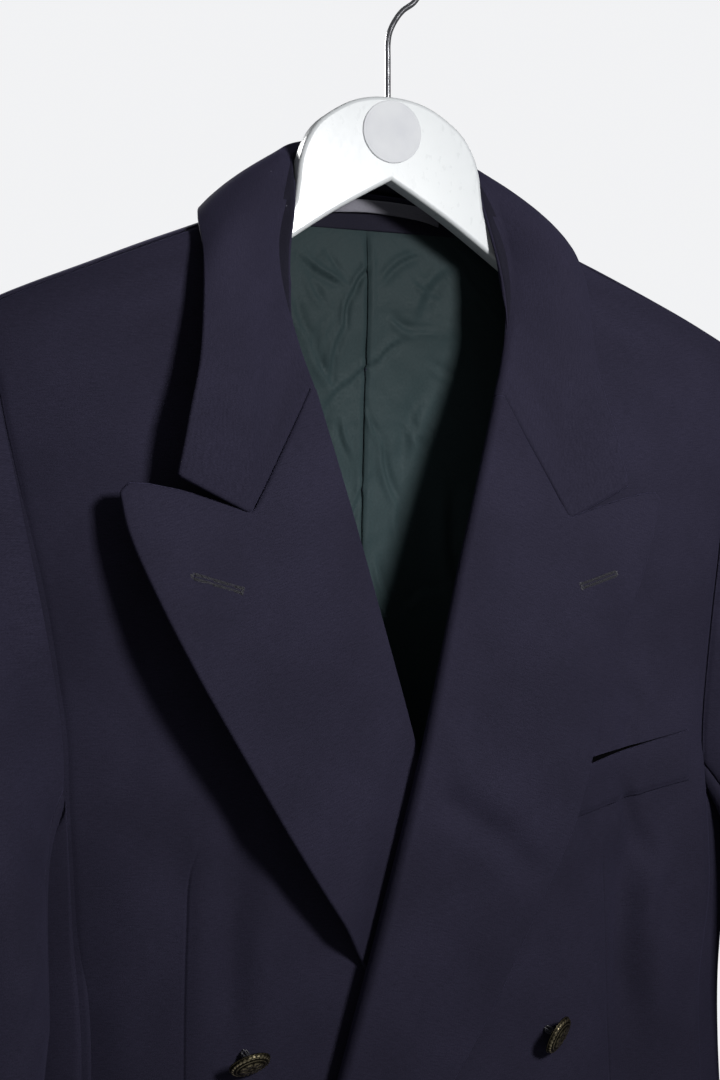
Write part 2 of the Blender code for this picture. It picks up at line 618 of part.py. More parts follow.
# x and z of each front button, and its lean: a shank button flops a little with its own weight.
FRONT_BUTTONS = {
    "left_top_button": ("left", 72.0, -605.0, (0.75, 0.0, -0.60), 4.8),
    "right_top_button": ("right", 97.0, -604.0, (0.25, 0.0, -1.25), 7.4),
    "left_closing_button": ("left", 58.0, -728.0, (0.0, 0.0, -0.25), 1.4),
    "right_closing_button": ("left", -58.0, -728.0, (0.0, 0.0, -0.25), 1.4),
}
CUFF_BUTTON_Z = (-770.0, -789.0, -808.0)


def make_buttons():
    for name, (side, x, z, lean, stand) in FRONT_BUTTONS.items():
        girth, level = on_body(x, z)
        normal = body_normal(girth, level)
        rise = left_rise(x, z) if side == "left" else 0.0
        spot = body_point(girth, level) + normal * rise
        if side == "right":
            spot, normal = mirrored(spot), mirrored(normal)
        place_button(name, BUTTON_DIA, spot, normal, lean, stand)
    turn = BACK_TURN + 14.0
    for i, z in enumerate(CUFF_BUTTON_Z):
        spot = sleeve_ring(np.array(z), np.array(turn))
        ahead = sleeve_ring(np.array(z), np.array(turn + 1.0)) - sleeve_ring(np.array(z), np.array(turn - 1.0))
        normal = np.cross(np.array((0, 0, 1.0)), ahead)
        normal /= -np.linalg.norm(normal)
        if normal @ (spot - np.array((SLEEVE["x"][3], SLEEVE["y"][3], z))) < 0:
            normal = -normal
        for side in ("left", "right"):
            flip = mirrored if side == "right" else (lambda p: p)
            place_button(f"{side}_cuff_button_{i + 1}", CUFF_BUTTON_DIA, flip(spot), flip(normal))


def make_hanger():
    curve = bpy.data.curves.new("hanger_body", "CURVE")
    curve.dimensions = "2D"
    curve.fill_mode = "BOTH"
    curve.extrude = (HANGER_THICK / 2 - 1.5) * MM
    curve.bevel_depth = 1.5 * MM
    curve.bevel_resolution = 2
    curve.offset = -1.5 * MM
    right = list(zip(HANGER["x"], HANGER["z"]))
    outline = right + [(-x, z) for x, z in reversed(right[1:-1])]
    spline = curve.splines.new("POLY")
    spline.points.add(len(outline) - 1)
    for point, (x, z) in zip(spline.points, outline):
        point.co = (x * MM, z * MM, 0, 1)
    spline.use_cyclic_u = True
    body = bpy.data.objects.new("hanger_body", curve)
    bpy.context.scene.collection.objects.link(body)
    body.rotation_euler = (pi / 2, 0, 0)
    curve.materials.append(WHITE)

    # The hook's centre line: a straight shaft, a bend to the wearer's left and the arc over the rail.
    arc_r = 20.0 + WIRE_DIA / 2
    centre_z = -20.0
    route = [(0, HANGER["z"][0] + SEAM), (0, -80), (0, -68), (0, -60), (1.2, -53), (4.6, -46), (9.2, -40)]
    for turn in range(-46, 206, 12):
        route.append((arc_r * cos(radians(turn)), centre_z + arc_r * sin(radians(turn))))
    wire = bpy.data.curves.new("hanger_hook", "CURVE")
    wire.dimensions = "3D"
    wire.bevel_depth = WIRE_DIA / 2 * MM
    wire.bevel_resolution = 2
    wire.use_fill_caps = True
    spline = wire.splines.new("POLY")
    spline.points.add(len(route) - 1)
    for point, (x, z) in zip(spline.points, route):
        point.co = (x * MM, 0, z * MM, 1)
    hook = bpy.data.objects.new("hanger_hook", wire)
    bpy.context.scene.collection.objects.link(hook)
    wire.materials.append(STEEL)

    bpy.ops.mesh.primitive_cylinder_add(vertices=32, radius=17.5 * MM, depth=0.5 * MM, rotation=(pi / 2, 0, 0),
                                        location=(0, -(HANGER_THICK / 2 + SEAM + 0.25) * MM, -111 * MM))
    disc = bpy.context.object
    disc.name = "hanger_disc"
    disc.data.materials.append(PAPER)


make_fronts()
make_sides()
make_backs()
make_lapels()
make_collar()
make_stand()
make_inside_back()
make_sleeves()
make_pockets()
make_buttons()
make_hanger()
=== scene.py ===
# %% [markdown]
# # A navy double breasted blazer on a white hanger
#
# This lesson dresses a measured model of a blazer. The measured model gives every size, and each cell below
# makes one piece of cloth, metal or lacquer in Blender, finer than the measured one and with its own finish.
# The garment hangs by its hook: the hook bears at the origin, Z is up and the front faces -Y. Left and right
# are the wearer's. Sizes in the tables are millimetres.

# %% Load the measured model
from math import cos, pi, radians, sin

import bpy
import numpy as np
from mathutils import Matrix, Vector


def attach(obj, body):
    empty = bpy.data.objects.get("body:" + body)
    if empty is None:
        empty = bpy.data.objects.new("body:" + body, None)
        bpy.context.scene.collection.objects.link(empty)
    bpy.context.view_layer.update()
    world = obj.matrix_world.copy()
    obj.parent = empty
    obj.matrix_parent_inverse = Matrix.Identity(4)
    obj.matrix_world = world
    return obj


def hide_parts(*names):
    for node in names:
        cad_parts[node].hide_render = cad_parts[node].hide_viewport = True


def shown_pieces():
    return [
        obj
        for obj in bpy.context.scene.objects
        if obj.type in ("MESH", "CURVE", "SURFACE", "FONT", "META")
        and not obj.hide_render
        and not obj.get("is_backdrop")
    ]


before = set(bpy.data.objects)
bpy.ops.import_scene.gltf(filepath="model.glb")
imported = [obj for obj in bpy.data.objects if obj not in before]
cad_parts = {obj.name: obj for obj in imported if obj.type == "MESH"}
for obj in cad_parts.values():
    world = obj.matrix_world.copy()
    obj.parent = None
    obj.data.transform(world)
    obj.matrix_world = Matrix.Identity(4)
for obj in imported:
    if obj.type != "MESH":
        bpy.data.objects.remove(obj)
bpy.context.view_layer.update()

MM = 0.001

# %% [markdown]
# ## The camera
#
# A blazer is judged from a little to one side, where the roll of the lapels shows its depth. A long lens
# keeps the shoulders and the pockets in proportion. The camera could be aimed with a constraint, but plain
# angles are easier to read and to repeat.

# %% Camera
camera = bpy.data.objects.new("camera", bpy.data.cameras.new("camera"))
camera.data.lens = 60
camera.data.sensor_width = 36
camera.location = (-0.3915, -0.925, -0.361)
camera.rotation_euler = (radians(91.28), 0, radians(-22.05))
bpy.context.scene.collection.objects.link(camera)
bpy.context.scene.camera = camera
print("camera stands", round(camera.location.length, 3), "m from the hook")

# %% [markdown]
# ## Studio light
#
# Dark wool needs one clear key light, level with the hook on the wearer's left, so that lapels and folds cast
# readable shadows. It is small and near, and its beam is narrowed, so the shadows are deep with a narrow soft
# edge and the light falls off down the garment. The room is a weak fill, and looks pale only where it is seen
# directly, so it doesn't wash the shadows out.

# %% Lights and the pale room
def area_light(name, place, target, size, watts):
    lamp = bpy.data.lights.new(name, "AREA")
    lamp.size, lamp.energy = size, watts
    made = bpy.data.objects.new(name, lamp)
    made.location = place
    made.rotation_euler = (Vector(target) - Vector(place)).to_track_quat("-Z", "Y").to_euler()
    bpy.context.scene.collection.objects.link(made)
    return made


key = area_light("key", (0.25, -1.02, -0.03), (0.0, 0, -0.20), 0.18, 5.2)
key.data.spread = radians(125)
area_light("fill", (-1.5, -1.9, 0.4), (0, 0, -0.5), 1.6, 1.2)
area_light("back_fill", (-0.6, 2.0, 0.5), (0, 0, -0.5), 0.8, 34)
bpy.context.scene.view_settings.view_transform = "Standard"
room = bpy.data.worlds.new("room")
bpy.context.scene.world = room
room.use_nodes = True
weak = room.node_tree.nodes["Background"]
weak.inputs["Color"].default_value = (0.93, 0.95, 1, 1)
weak.inputs["Strength"].default_value = 0.09
seen = room.node_tree.nodes.new("ShaderNodeBackground")
seen.inputs["Color"].default_value = (0.885, 0.89, 0.905, 1)
seen.inputs["Strength"].default_value = 1.0
rays = room.node_tree.nodes.new("ShaderNodeLightPath")
choice = room.node_tree.nodes.new("ShaderNodeMixShader")
room.node_tree.links.new(rays.outputs["Is Camera Ray"], choice.inputs[0])
room.node_tree.links.new(weak.outputs[0], choice.inputs[1])
room.node_tree.links.new(seen.outputs[0], choice.inputs[2])
room.node_tree.links.new(choice.outputs[0], room.node_tree.nodes["World Output"].inputs["Surface"])

# %% [markdown]
# ## Node helpers
#
# A finish is a small network of nodes around one Principled shader. Six helpers keep the networks short: they
# feed a value or another node into a socket, add a node, blend two colours, do sums, stretch a band of values
# and start a finish. Adding each node by hand would work too, but would hide the recipe behind typing.

# %% Helpers for finishes
def feed(tree, socket, value):
    if isinstance(value, bpy.types.NodeSocket):
        tree.links.new(value, socket)
    else:
        socket.default_value = value


def add(tree, kind, inputs=None, **settings):
    made = tree.nodes.new("ShaderNode" + kind)
    for name, value in settings.items():
        setattr(made, name, value)
    for name, value in (inputs or {}).items():
        feed(tree, made.inputs[name], value)
    return made


def blend(tree, share, first, second, how="MIX"):
    made = add(tree, "Mix", data_type="RGBA", blend_type=how)
    for index, value in ((0, share), (6, first), (7, second)):
        feed(tree, made.inputs[index], value)
    return made.outputs[2]


def maths(tree, what, first, second=0.0):
    made = add(tree, "Math", {0: first, 1: second}, operation=what)
    return made.outputs[0]


def band(tree, value, low, high, start, end):
    sizes = {"Value": value, "From Min": low, "From Max": high, "To Min": start, "To Max": end}
    return add(tree, "MapRange", sizes).outputs["Result"]


def new_finish(name, **sockets):
    made = bpy.data.materials.new(name)
    made.use_nodes = True
    shader = made.node_tree.nodes["Principled BSDF"]
    for socket, value in sockets.items():
        shader.inputs[socket.replace("_", " ")].default_value = value
    return made, made.node_tree, shader


print("six helpers ready")

# %% [markdown]
# ## Navy wool
#
# The cloth is a brushed navy wool twill. Up close it is fine diagonal ribs under a short nap, and from
# further off it is nearly black with a violet grey bloom where light grazes the nap. Ribs are a wave
# texture laid on each panel's own flat pattern, so they follow the cut. Long threads and fuzz, both of them
# noise, break them up, a slow noise mottles the dye, and a few tiny pale specks are the lint that dark wool
# always carries. The undercollar is darker and rougher, and the same darker wool on the neck facing is painted
# shade. A black cloth with no shine is painted shadow in the breast pocket's mouth.

# %% Wool finish
def wool_finish(name, dark, pale, nap=1.0):
    made, tree, shader = new_finish(name, Sheen_Weight=0.07, Sheen_Roughness=0.5, Sheen_Tint=(0.50, 0.47, 0.90, 1),
                                    Specular_IOR_Level=0.12)
    flat = add(tree, "UVMap", uv_map="pattern").outputs[0]
    ribs = add(tree, "TexWave", {"Vector": flat, "Scale": 1150.0, "Distortion": 1.2, "Detail": 2.0},
               bands_direction="DIAGONAL").outputs["Fac"]
    long_way = add(tree, "Mapping", {"Vector": flat, "Scale": (0.22, 1.5, 1)}).outputs[0]
    threads = add(tree, "TexNoise", {"Vector": long_way, "Scale": 900.0, "Detail": 3.0}).outputs["Fac"]
    fuzz = add(tree, "TexNoise", {"Vector": flat, "Scale": 1300.0, "Detail": 4.0, "Roughness": 0.7}).outputs["Fac"]
    cloud = add(tree, "TexNoise", {"Vector": flat, "Scale": 17.0, "Detail": 3.0}).outputs["Fac"]
    grain = maths(tree, "ADD", maths(tree, "MULTIPLY", ribs, 0.16), maths(tree, "MULTIPLY", threads, 0.42))
    grain = maths(tree, "ADD", grain, maths(tree, "MULTIPLY", fuzz, 0.8))
    colour = blend(tree, band(tree, grain, 0.42, 0.98, 0.0, 1.0), (*dark, 1), (*pale, 1))
    colour = blend(tree, band(tree, cloud, 0.35, 0.65, 0.0, 0.30), colour, (*[0.62 * c for c in dark], 1))
    spot = add(tree, "TexVoronoi", {"Vector": flat, "Scale": 48.0})
    near = maths(tree, "LESS_THAN", spot.outputs["Distance"], 0.014)
    tint = add(tree, "SeparateColor", {0: spot.outputs["Color"]})
    rare = maths(tree, "GREATER_THAN", tint.outputs[0], 0.80)
    colour = blend(tree, maths(tree, "MULTIPLY", near, rare), colour, (0.16, 0.16, 0.20, 1))
    feed(tree, shader.inputs["Base Color"], colour)
    feed(tree, shader.inputs["Roughness"], band(tree, fuzz, 0.3, 0.7, 0.95, 0.78))
    relief = add(tree, "Bump", {"Height": grain, "Distance": 0.00022 * nap, "Strength": 0.55})
    feed(tree, shader.inputs["Normal"], relief.outputs[0])
    return made


wool = wool_finish("brushed_navy_wool", (0.0125, 0.0113, 0.0225), (0.0325, 0.0295, 0.0555))
# The darker undercollar wool is also used on the neck facing as painted shade.
undercollar_and_shade_wool = wool_finish("navy_undercollar_and_painted_shade_wool", (0.0075, 0.0070, 0.0130), (0.018, 0.0168, 0.029), 1.4)
# Painted shadow: a near-black cloth with no shine, laid in the breast pocket's mouth to stand for its shade.
painted_mouth_shadow = wool_finish("painted_pocket_mouth_shadow", (0.0006, 0.0006, 0.0009), (0.0014, 0.0013, 0.002))
for socket, value in (("Sheen Weight", 0.0), ("Specular IOR Level", 0.03)):
    painted_mouth_shadow.node_tree.nodes["Principled BSDF"].inputs[socket].default_value = value
print("wool finishes", wool.name, undercollar_and_shade_wool.name)

# %% [markdown]
# ## Lining, tape and thread
#
# The lining is a smooth grey green satin: very fine straight threads and a gloss that stretches along them.
# It is crumpled, and its colour is darkened towards the neck as painted shade. The hanging loop is a ribbed lilac grey
# tape. Thread is twisted, so its colour and height run in slanting bands along it.

# %% Satin, tape and thread finishes
def woven_finish(name, dark, pale, ribs, roughness, depth, direction="X", crumple=0.0, **sockets):
    made, tree, shader = new_finish(name, **sockets)
    flat = add(tree, "UVMap", uv_map="pattern").outputs[0]
    rib = add(tree, "TexWave", {"Vector": flat, "Scale": ribs, "Distortion": 0.8, "Detail": 2.0},
              bands_direction=direction).outputs["Fac"]
    slub = add(tree, "TexNoise", {"Vector": flat, "Scale": 700.0, "Detail": 3.0}).outputs["Fac"]
    cloud = add(tree, "TexNoise", {"Vector": flat, "Scale": 22.0, "Detail": 4.0}).outputs["Fac"]
    grain = maths(tree, "ADD", maths(tree, "MULTIPLY", rib, 0.5), maths(tree, "MULTIPLY", slub, 0.6))
    colour = blend(tree, band(tree, grain, 0.2, 0.9, 0.0, 1.0), (*dark, 1), (*pale, 1))
    colour = blend(tree, band(tree, cloud, 0.3, 0.7, 0.0, 0.22), colour, (*dark, 1))
    feed(tree, shader.inputs["Base Color"], colour)
    feed(tree, shader.inputs["Roughness"], band(tree, slub, 0.3, 0.7, roughness + 0.07, roughness - 0.05))
    relief = add(tree, "Bump", {"Height": grain, "Distance": depth, "Strength": 0.4})
    if crumple:
        creased = add(tree, "TexNoise", {"Vector": flat, "Scale": 21.0, "Detail": 3.0, "Roughness": 0.5,
                                         "Distortion": 0.3}).outputs["Fac"]
        feed(tree, relief.inputs["Normal"],
             add(tree, "Bump", {"Height": creased, "Distance": crumple, "Strength": 0.7}).outputs[0])
        # Painted shade: the satin's colour darkens towards the neck, where the hanger and the folds shade the lining.
        height = add(tree, "SeparateXYZ", {0: flat}).outputs["Y"]
        painted_neck_shade = band(tree, maths(tree, "ADD", height, maths(tree, "MULTIPLY", creased, 0.05)), -0.30, -0.19, 0.0, 0.6)
        feed(tree, shader.inputs["Base Color"], blend(tree, painted_neck_shade, colour, (*[0.42 * c for c in dark], 1)))
    feed(tree, shader.inputs["Normal"], relief.outputs[0])
    return made


satin = woven_finish("green_grey_satin", (0.0300, 0.0480, 0.0515), (0.0490, 0.0740, 0.0800), 700.0, 0.55, 0.00006,
                     crumple=0.0065, Anisotropic=0.35, Specular_IOR_Level=0.07)
tape = woven_finish("lilac_grey_tape", (0.11, 0.107, 0.132), (0.175, 0.17, 0.205), 260.0, 0.62, 0.0002, "Y",
                    Sheen_Weight=0.2)
thread = woven_finish("lilac_grey_thread", (0.013, 0.0125, 0.019), (0.030, 0.029, 0.041), 900.0, 0.6, 0.0001,
                      "DIAGONAL", Sheen_Weight=0.3)
navy_thread = woven_finish("navy_thread", (0.010, 0.010, 0.017), (0.028, 0.027, 0.042), 900.0, 0.6, 0.0001,
                           "DIAGONAL", Sheen_Weight=0.3)
print("woven finishes", satin.name, tape.name, thread.name, navy_thread.name)

# %% [markdown]
# ## Brass, lacquer, wire and paper
#
# The buttons are cast metal with a thin brass wash: the high spots are rubbed pale and the hollows hold
# dark tarnish, so each button mesh stores how deep each point lies and the finish reads that. The hanger is
# white lacquer over wood, which shows a faint orange peel; its hook is polished wire with fine scratches.

# %% Hard finishes
def brass_finish():
    made, tree, shader = new_finish("rubbed_brass", Metallic=1.0)
    depth = add(tree, "Attribute", attribute_name="hollow", attribute_type="GEOMETRY").outputs["Fac"]
    place = add(tree, "TexCoord").outputs["Object"]
    patina = add(tree, "TexNoise", {"Vector": place, "Scale": 700.0, "Detail": 5.0, "Roughness": 0.65}).outputs["Fac"]
    worn = maths(tree, "ADD", depth, maths(tree, "MULTIPLY", maths(tree, "SUBTRACT", patina, 0.5), 0.7))
    colour = blend(tree, band(tree, worn, 0.25, 0.8, 0.0, 1.0), (0.47, 0.40, 0.25, 1), (0.022, 0.019, 0.013, 1))
    feed(tree, shader.inputs["Base Color"], colour)
    feed(tree, shader.inputs["Roughness"], band(tree, worn, 0.1, 0.9, 0.24, 0.6))
    relief = add(tree, "Bump", {"Height": patina, "Distance": 0.00008, "Strength": 0.5})
    feed(tree, shader.inputs["Normal"], relief.outputs[0])
    return made


def coated_finish(name, base, other, spots, roughness, depth, stretch=(1, 1, 1), **sockets):
    made, tree, shader = new_finish(name, **sockets)
    place = add(tree, "TexCoord").outputs["Object"]
    place = add(tree, "Mapping", {"Vector": place, "Scale": stretch}).outputs[0]
    fine = add(tree, "TexNoise", {"Vector": place, "Scale": spots, "Detail": 4.0}).outputs["Fac"]
    slow = add(tree, "TexNoise", {"Vector": place, "Scale": spots / 30, "Detail": 3.0}).outputs["Fac"]
    colour = blend(tree, band(tree, slow, 0.35, 0.65, 0.0, 1.0), (*base, 1), (*other, 1))
    feed(tree, shader.inputs["Base Color"], colour)
    feed(tree, shader.inputs["Roughness"], band(tree, fine, 0.3, 0.7, roughness - 0.05, roughness + 0.08))
    relief = add(tree, "Bump", {"Height": fine, "Distance": depth, "Strength": 0.35})
    feed(tree, shader.inputs["Normal"], relief.outputs[0])
    return made


brass = brass_finish()
lacquer = coated_finish("white_lacquer_on_wood", (0.635, 0.657, 0.665), (0.605, 0.627, 0.64), 420.0, 0.3, 0.00006,
                        (1, 1, 0.5), Coat_Weight=0.35, Coat_Roughness=0.12)
chrome = coated_finish("polished_wire", (0.60, 0.60, 0.62), (0.50, 0.50, 0.53), 900.0, 0.2, 0.00003, (1, 1, 0.15),
                       Metallic=1.0)
paper = coated_finish("plain_grey_paper", (0.62, 0.63, 0.65), (0.56, 0.57, 0.60), 1500.0, 0.6, 0.00004)
floor_paint = coated_finish("pale_floor_paint", (0.80, 0.81, 0.82), (0.76, 0.77, 0.785), 60.0, 0.7, 0.0004)
floor_tree = floor_paint.node_tree
floor_shader = floor_tree.nodes["Principled BSDF"]
floor_shader.inputs["Emission Color"].default_value = (0.93, 0.94, 0.96, 1)
floor_rays = add(floor_tree, "LightPath").outputs["Is Camera Ray"]
feed(floor_tree, floor_shader.inputs["Emission Strength"], maths(floor_tree, "MULTIPLY", floor_rays, 0.55))
print("hard finishes", [m.name for m in (brass, lacquer, chrome, paper, floor_paint)])

# %% [markdown]
# ## Floor
#
# A plain pale round floor lies well below the hem. It could be an endless plane, but a disc with an edge
# beyond the light's pool leaves the pale room behind the garment. Like the room, its paint glows a little
# where it is seen directly, so it stays pale without lighting the wool from below.

# %% Floor
FLOOR_RADIUS = 2.0
FLOOR_Z = -1.6
floor = bpy.data.meshes.new("floor")
around = np.radians(np.arange(0, 360, 3))
rim = np.stack((FLOOR_RADIUS * np.cos(around), FLOOR_RADIUS * np.sin(around), 0 * around + FLOOR_Z), axis=1)
floor.from_pydata(rim.tolist(), [], [list(range(len(rim)))])
floor.materials.append(floor_paint)
floor = bpy.data.objects.new("floor", floor)
bpy.context.scene.collection.objects.link(floor)
floor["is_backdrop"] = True
print("floor at", FLOOR_Z, "m")

# %% [markdown]
# ## Sizes of the garment
#
# These are the maker's measurements: cloth thickness, seam gap, levels, and the level sections of the body.
# A section is a squarish oval given by its half width and its two depths. Sections could be drawn as
# curves and lofted by hand, but a table can be read at any height, so every piece finds its own place.

# %% Driving sizes and the body's sections
WALL = 1.8
LAPEL_WALL = 2.4
SEAM = 0.3
HEM_Z = -900.0
NAPE_Z = -137.0
NECK_Z = -154.0
SHOULDER_Z = -226.0
CUFF_Z = -846.0
BREAK_Z = -712.0
OVERLAP_RISE = 10.0
FRONT_SEAM_T = 0.80
BACK_SEAM_T = 1.22
HALF_GAP = SEAM / 2 / 245.0
HALF_GIRTH = 245.0
BODY = {
    "z": (-100, -137, -154, -160, -167, -181, -195, -209, -218, -226, -260, -320,
          -400, -480, -530, -590, -660, -760, -840, -905),
    "half_width": (80, 80, 81, 90, 104, 138, 171, 203, 221, 232, 234, 234, 232, 227, 219, 212, 213, 219, 224, 227),
    "front": (9, 9, 11, 12, 13, 15.5, 18, 20, 21.5, 22.5, 27, 33, 37, 40, 41, 41, 42, 44, 45, 46),
    "back": (34, 36, 37, 37, 36, 35, 34, 34, 34, 34.5, 38, 42, 45, 47, 46, 45, 47, 50, 52, 53),
    "square": (2.1, 2.1, 2.1, 2.1, 2.1, 2.1, 2.1, 2.1, 2.1, 2.1, 2.2, 2.3, 2.4, 2.4, 2.4, 2.4, 2.4, 2.4, 2.4, 2.4),
    "tilt": (0.0, 0.0, 0.2, 0.26, 0.32, 0.4, 0.44, 0.45, 0.45, 0.44, 0.36, 0.2, 0.05, 0.0, 0.0, 0.0, 0.0, 0.0, 0.0,
             0.0),
}
print("sections", len(BODY["z"]), "from", BODY["z"][0], "to", BODY["z"][-1], "mm")

# %% [markdown]
# ## Reading a smooth curve through a table
#
# Cloth has no corners between measurements, so tables are read with a cubic that passes through each row
# and keeps its slope. A spline object would do the same, but as a function it takes a whole grid at once. The
# other helpers are a soft step, a rounded hump, a blend, a direction of length one and the way along a line.

# %% Smooth curve and its helpers
def smooth(x, xs, ys):
    xs, ys = np.array(xs, float), np.array(ys, float)
    if xs[0] > xs[-1]:
        xs, ys = xs[::-1], ys[::-1]
    x = np.clip(np.asarray(x, float), xs[0], xs[-1])
    step = np.diff(xs)
    slope = (np.diff(ys, axis=0).T / step).T
    tangent = np.empty_like(ys)
    tangent[0], tangent[-1] = slope[0], slope[-1]
    tangent[1:-1] = (slope[:-1] + slope[1:]) / 2
    i = np.clip(np.searchsorted(xs, x) - 1, 0, len(step) - 1)
    u, h = (x - xs[i]) / step[i], step[i]
    if ys.ndim > 1:
        u, h = u[..., None], h[..., None]
    return ((2 * u**3 - 3 * u**2 + 1) * ys[i] + (u**3 - 2 * u**2 + u) * h * tangent[i]
            + (3 * u**2 - 2 * u**3) * ys[i + 1] + (u**3 - u**2) * h * tangent[i + 1])


def ease(x, low, high):
    u = np.clip((np.asarray(x, float) - low) / (high - low), 0, 1)
    return u * u * (3 - 2 * u)


def hump(distance, width):
    return np.exp(-((distance / width) ** 2))


def mix(first, last, share):
    return first * (1 - share) + last * share


def unit(way):
    return way / np.maximum(np.linalg.norm(way, axis=-1, keepdims=True), 1e-9)


def run_along(points):
    """How far each point of a line lies from the line's start."""
    return np.concatenate(([0], np.cumsum(np.linalg.norm(np.diff(points, axis=0), axis=1))))


print("half width at the waist", float(smooth(-590, BODY["z"], BODY["half_width"])), "mm")

# %% [markdown]
# ## The body's surface
#
# Every body panel lies on one surface. A place on it is a share of the half girth, from 0 at the centre
# front by 1 at the side to 2 at the centre back, and a level. Moving out along the normal gives the
# lapels, flaps and lining their layers, so nothing that lies on a panel can cut into it.

# %% Body point, normal and place on the body
ANGLES = np.linspace(0, pi / 2, 1500)
# A usual section, by which a share of the half girth is turned into an angle.
USUAL = {"half_width": 222, "depth": 42, "square": 2.35}
SHARES = run_along(np.stack((USUAL["half_width"] * np.sin(ANGLES) ** (2 / USUAL["square"]),
                             -USUAL["depth"] * np.cos(ANGLES) ** (2 / USUAL["square"])), axis=1))
SHARES /= SHARES[-1]


def body_point(girth, level):
    girth, level = np.broadcast_arrays(np.asarray(girth, float), np.asarray(level, float))
    size = {name: smooth(level, BODY["z"], BODY[name]) for name in BODY if name != "z"}
    share = np.abs(girth)
    behind = share > 1
    angle = np.interp(np.where(behind, 2 - share, share), SHARES, ANGLES)
    power = 2 / size["square"]
    x = np.sign(girth) * size["half_width"] * np.sin(angle) ** power
    y = np.where(behind, size["back"], -size["front"]) * np.clip(np.cos(angle), 0, 1) ** power
    return np.stack((x, y, level + size["tilt"] * y), axis=-1)


def body_normal(girth, level):
    d = 0.004
    along = body_point(girth + d, level) - body_point(girth - d, level)
    up = body_point(girth, level + 1.0) - body_point(girth, level - 1.0)
    return unit(np.cross(along, up))


def on_body(x, z, behind=False):
    x, z = np.asarray(x, float), np.asarray(z, float)
    level = z.copy()
    for _ in range(12):
        half = smooth(level, BODY["z"], BODY["half_width"])
        power = smooth(level, BODY["z"], BODY["square"]) / 2
        angle = np.arcsin(np.clip(np.abs(x) / half, 0, 1) ** power)
        depth = smooth(level, BODY["z"], BODY["back" if behind else "front"])
        y = depth * np.clip(np.cos(angle), 0, 1) ** (1 / power)
        level = z - smooth(level, BODY["z"], BODY["tilt"]) * (y if behind else -y)
    share = np.interp(angle, ANGLES, SHARES)
    return np.where(x < 0, -1, 1) * (2 - share if behind else share), level


def raised(girth, level, lift):
    return body_point(girth, level) + body_normal(girth, level) * np.asarray(lift, float)[..., None]


def flat_of(girth, level):
    return np.stack((girth * HALF_GIRTH, level), -1)


print("centre front at the waist", np.round(body_point(0.0, -590.0), 1), "mm")

# %% [markdown]
# ## From a grid of points to a piece of cloth
#
# Each piece is computed as one grid of points on its face. This helper gives it a second face one cloth
# thickness behind and a rounded edge, so it is a closed sheet with real thickness. A Solidify modifier
# would do much the same, but here the thickness can vary, and the flat pattern coordinates that the weave
# follows are stored at the same time.

# %% Sheet of cloth from a grid
LEAST_CUT = 0.0102


def enter(made, node=None):
    """Lets a finished piece ride the body, in place of a measured one where it has one."""
    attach(made, "root")
    if node:
        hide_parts(node)
    return made


def mesh_of(name, points, faces, finish, pattern=None):
    mesh = bpy.data.meshes.new(name)
    mesh.from_pydata((points * MM).tolist(), [], faces.tolist())
    mesh.polygons.foreach_set("use_smooth", np.ones(len(faces), bool))
    if pattern is not None:
        layer = mesh.uv_layers.new(name="pattern")
        layer.data.foreach_set("uv", (pattern[faces.ravel()] * MM).ravel())
    mesh.materials.append(finish)
    made = bpy.data.objects.new(name, mesh)
    bpy.context.scene.collection.objects.link(made)
    return made


def shell(name, outer, pattern, wall, finish, mirror=False, flip=False, rim=0.1):
    outer = outer * np.array((-1, 1, 1)) if mirror else outer
    rows, columns = outer.shape[:2]
    normal = unit(np.cross(np.gradient(outer, axis=0), np.gradient(outer, axis=1)))
    if mirror != flip:
        normal = -normal
    wall = np.broadcast_to(np.asarray(wall, float), (rows, columns))
    inner = outer - normal * wall[..., None]
    ids = np.arange(rows * columns).reshape(rows, columns)
    quads = np.stack((ids[:-1, :-1], ids[1:, :-1], ids[1:, 1:], ids[:-1, 1:]), -1).reshape(-1, 4)
    edge = np.concatenate((ids[0, :-1], ids[:-1, -1], ids[-1, :0:-1], ids[:0:-1, 0]))
    inside = np.concatenate((ids[1, :-1], ids[:-1, -2], ids[-2, :0:-1], ids[:0:-1, 1]))
    flat_outer, flat_inner = outer.reshape(-1, 3), inner.reshape(-1, 3)
    away = unit(flat_outer[edge] - flat_outer[inside])
    middle = (flat_outer[edge] + flat_inner[edge]) / 2 + away * (rim * wall.reshape(-1)[edge])[:, None]
    n, m = rows * columns, len(edge)
    here, after = np.arange(m), (np.arange(m) + 1) % m
    first = np.stack((edge[here], edge[after], 2 * n + after, 2 * n + here), -1)
    second = np.stack((2 * n + here, 2 * n + after, n + edge[after], n + edge[here]), -1)
    faces = np.concatenate((quads, quads[:, ::-1] + n, first, second))
    if mirror != flip:
        faces = faces[:, ::-1]
    flat = pattern.reshape(-1, 2)
    points = np.concatenate((flat_outer, flat_inner, middle))
    return mesh_of(name, points, faces, finish, np.concatenate((flat, flat, flat[edge])))


def sew(node, outer, pattern, wall, finish, mirror=False, flip=False, rim=0.1):
    made = shell(node + "_cloth", outer, pattern, wall, finish, mirror, flip, rim)
    enter(made, node)
    width = np.linalg.norm(np.diff(outer, axis=1), axis=-1).sum(1).max() * MM
    length = np.linalg.norm(np.diff(outer, axis=0), axis=-1).sum(0).max() * MM
    diagonals = np.cross(outer[1:, 1:] - outer[:-1, :-1], outer[1:, :-1] - outer[:-1, 1:])
    area = np.linalg.norm(diagonals, axis=-1).sum() / 2 * MM**2
    width, length = max(width, LEAST_CUT), max(length, LEAST_CUT)
    cut = (round(width, 3), round(length, 3), round(area, 4))
    print(made.name, "cut", cut, "with", len(made.data.polygons), "faces")


def spread(count, ends=0.6):
    t = np.linspace(0, 1, count)
    return t - ends * np.sin(2 * pi * t) / (2 * pi)


# %% [markdown]
# ## The hanger
#
# The shoulders hang on a flat white lacquered hanger with a low dome in the middle, a wire hook and a plain
# round paper disc. The body is a filled curve with a rounded bevel, which is how a board is cut and eased
# at its edges; sculpting it from a box would give the same form with more work. The hook is one bent wire.

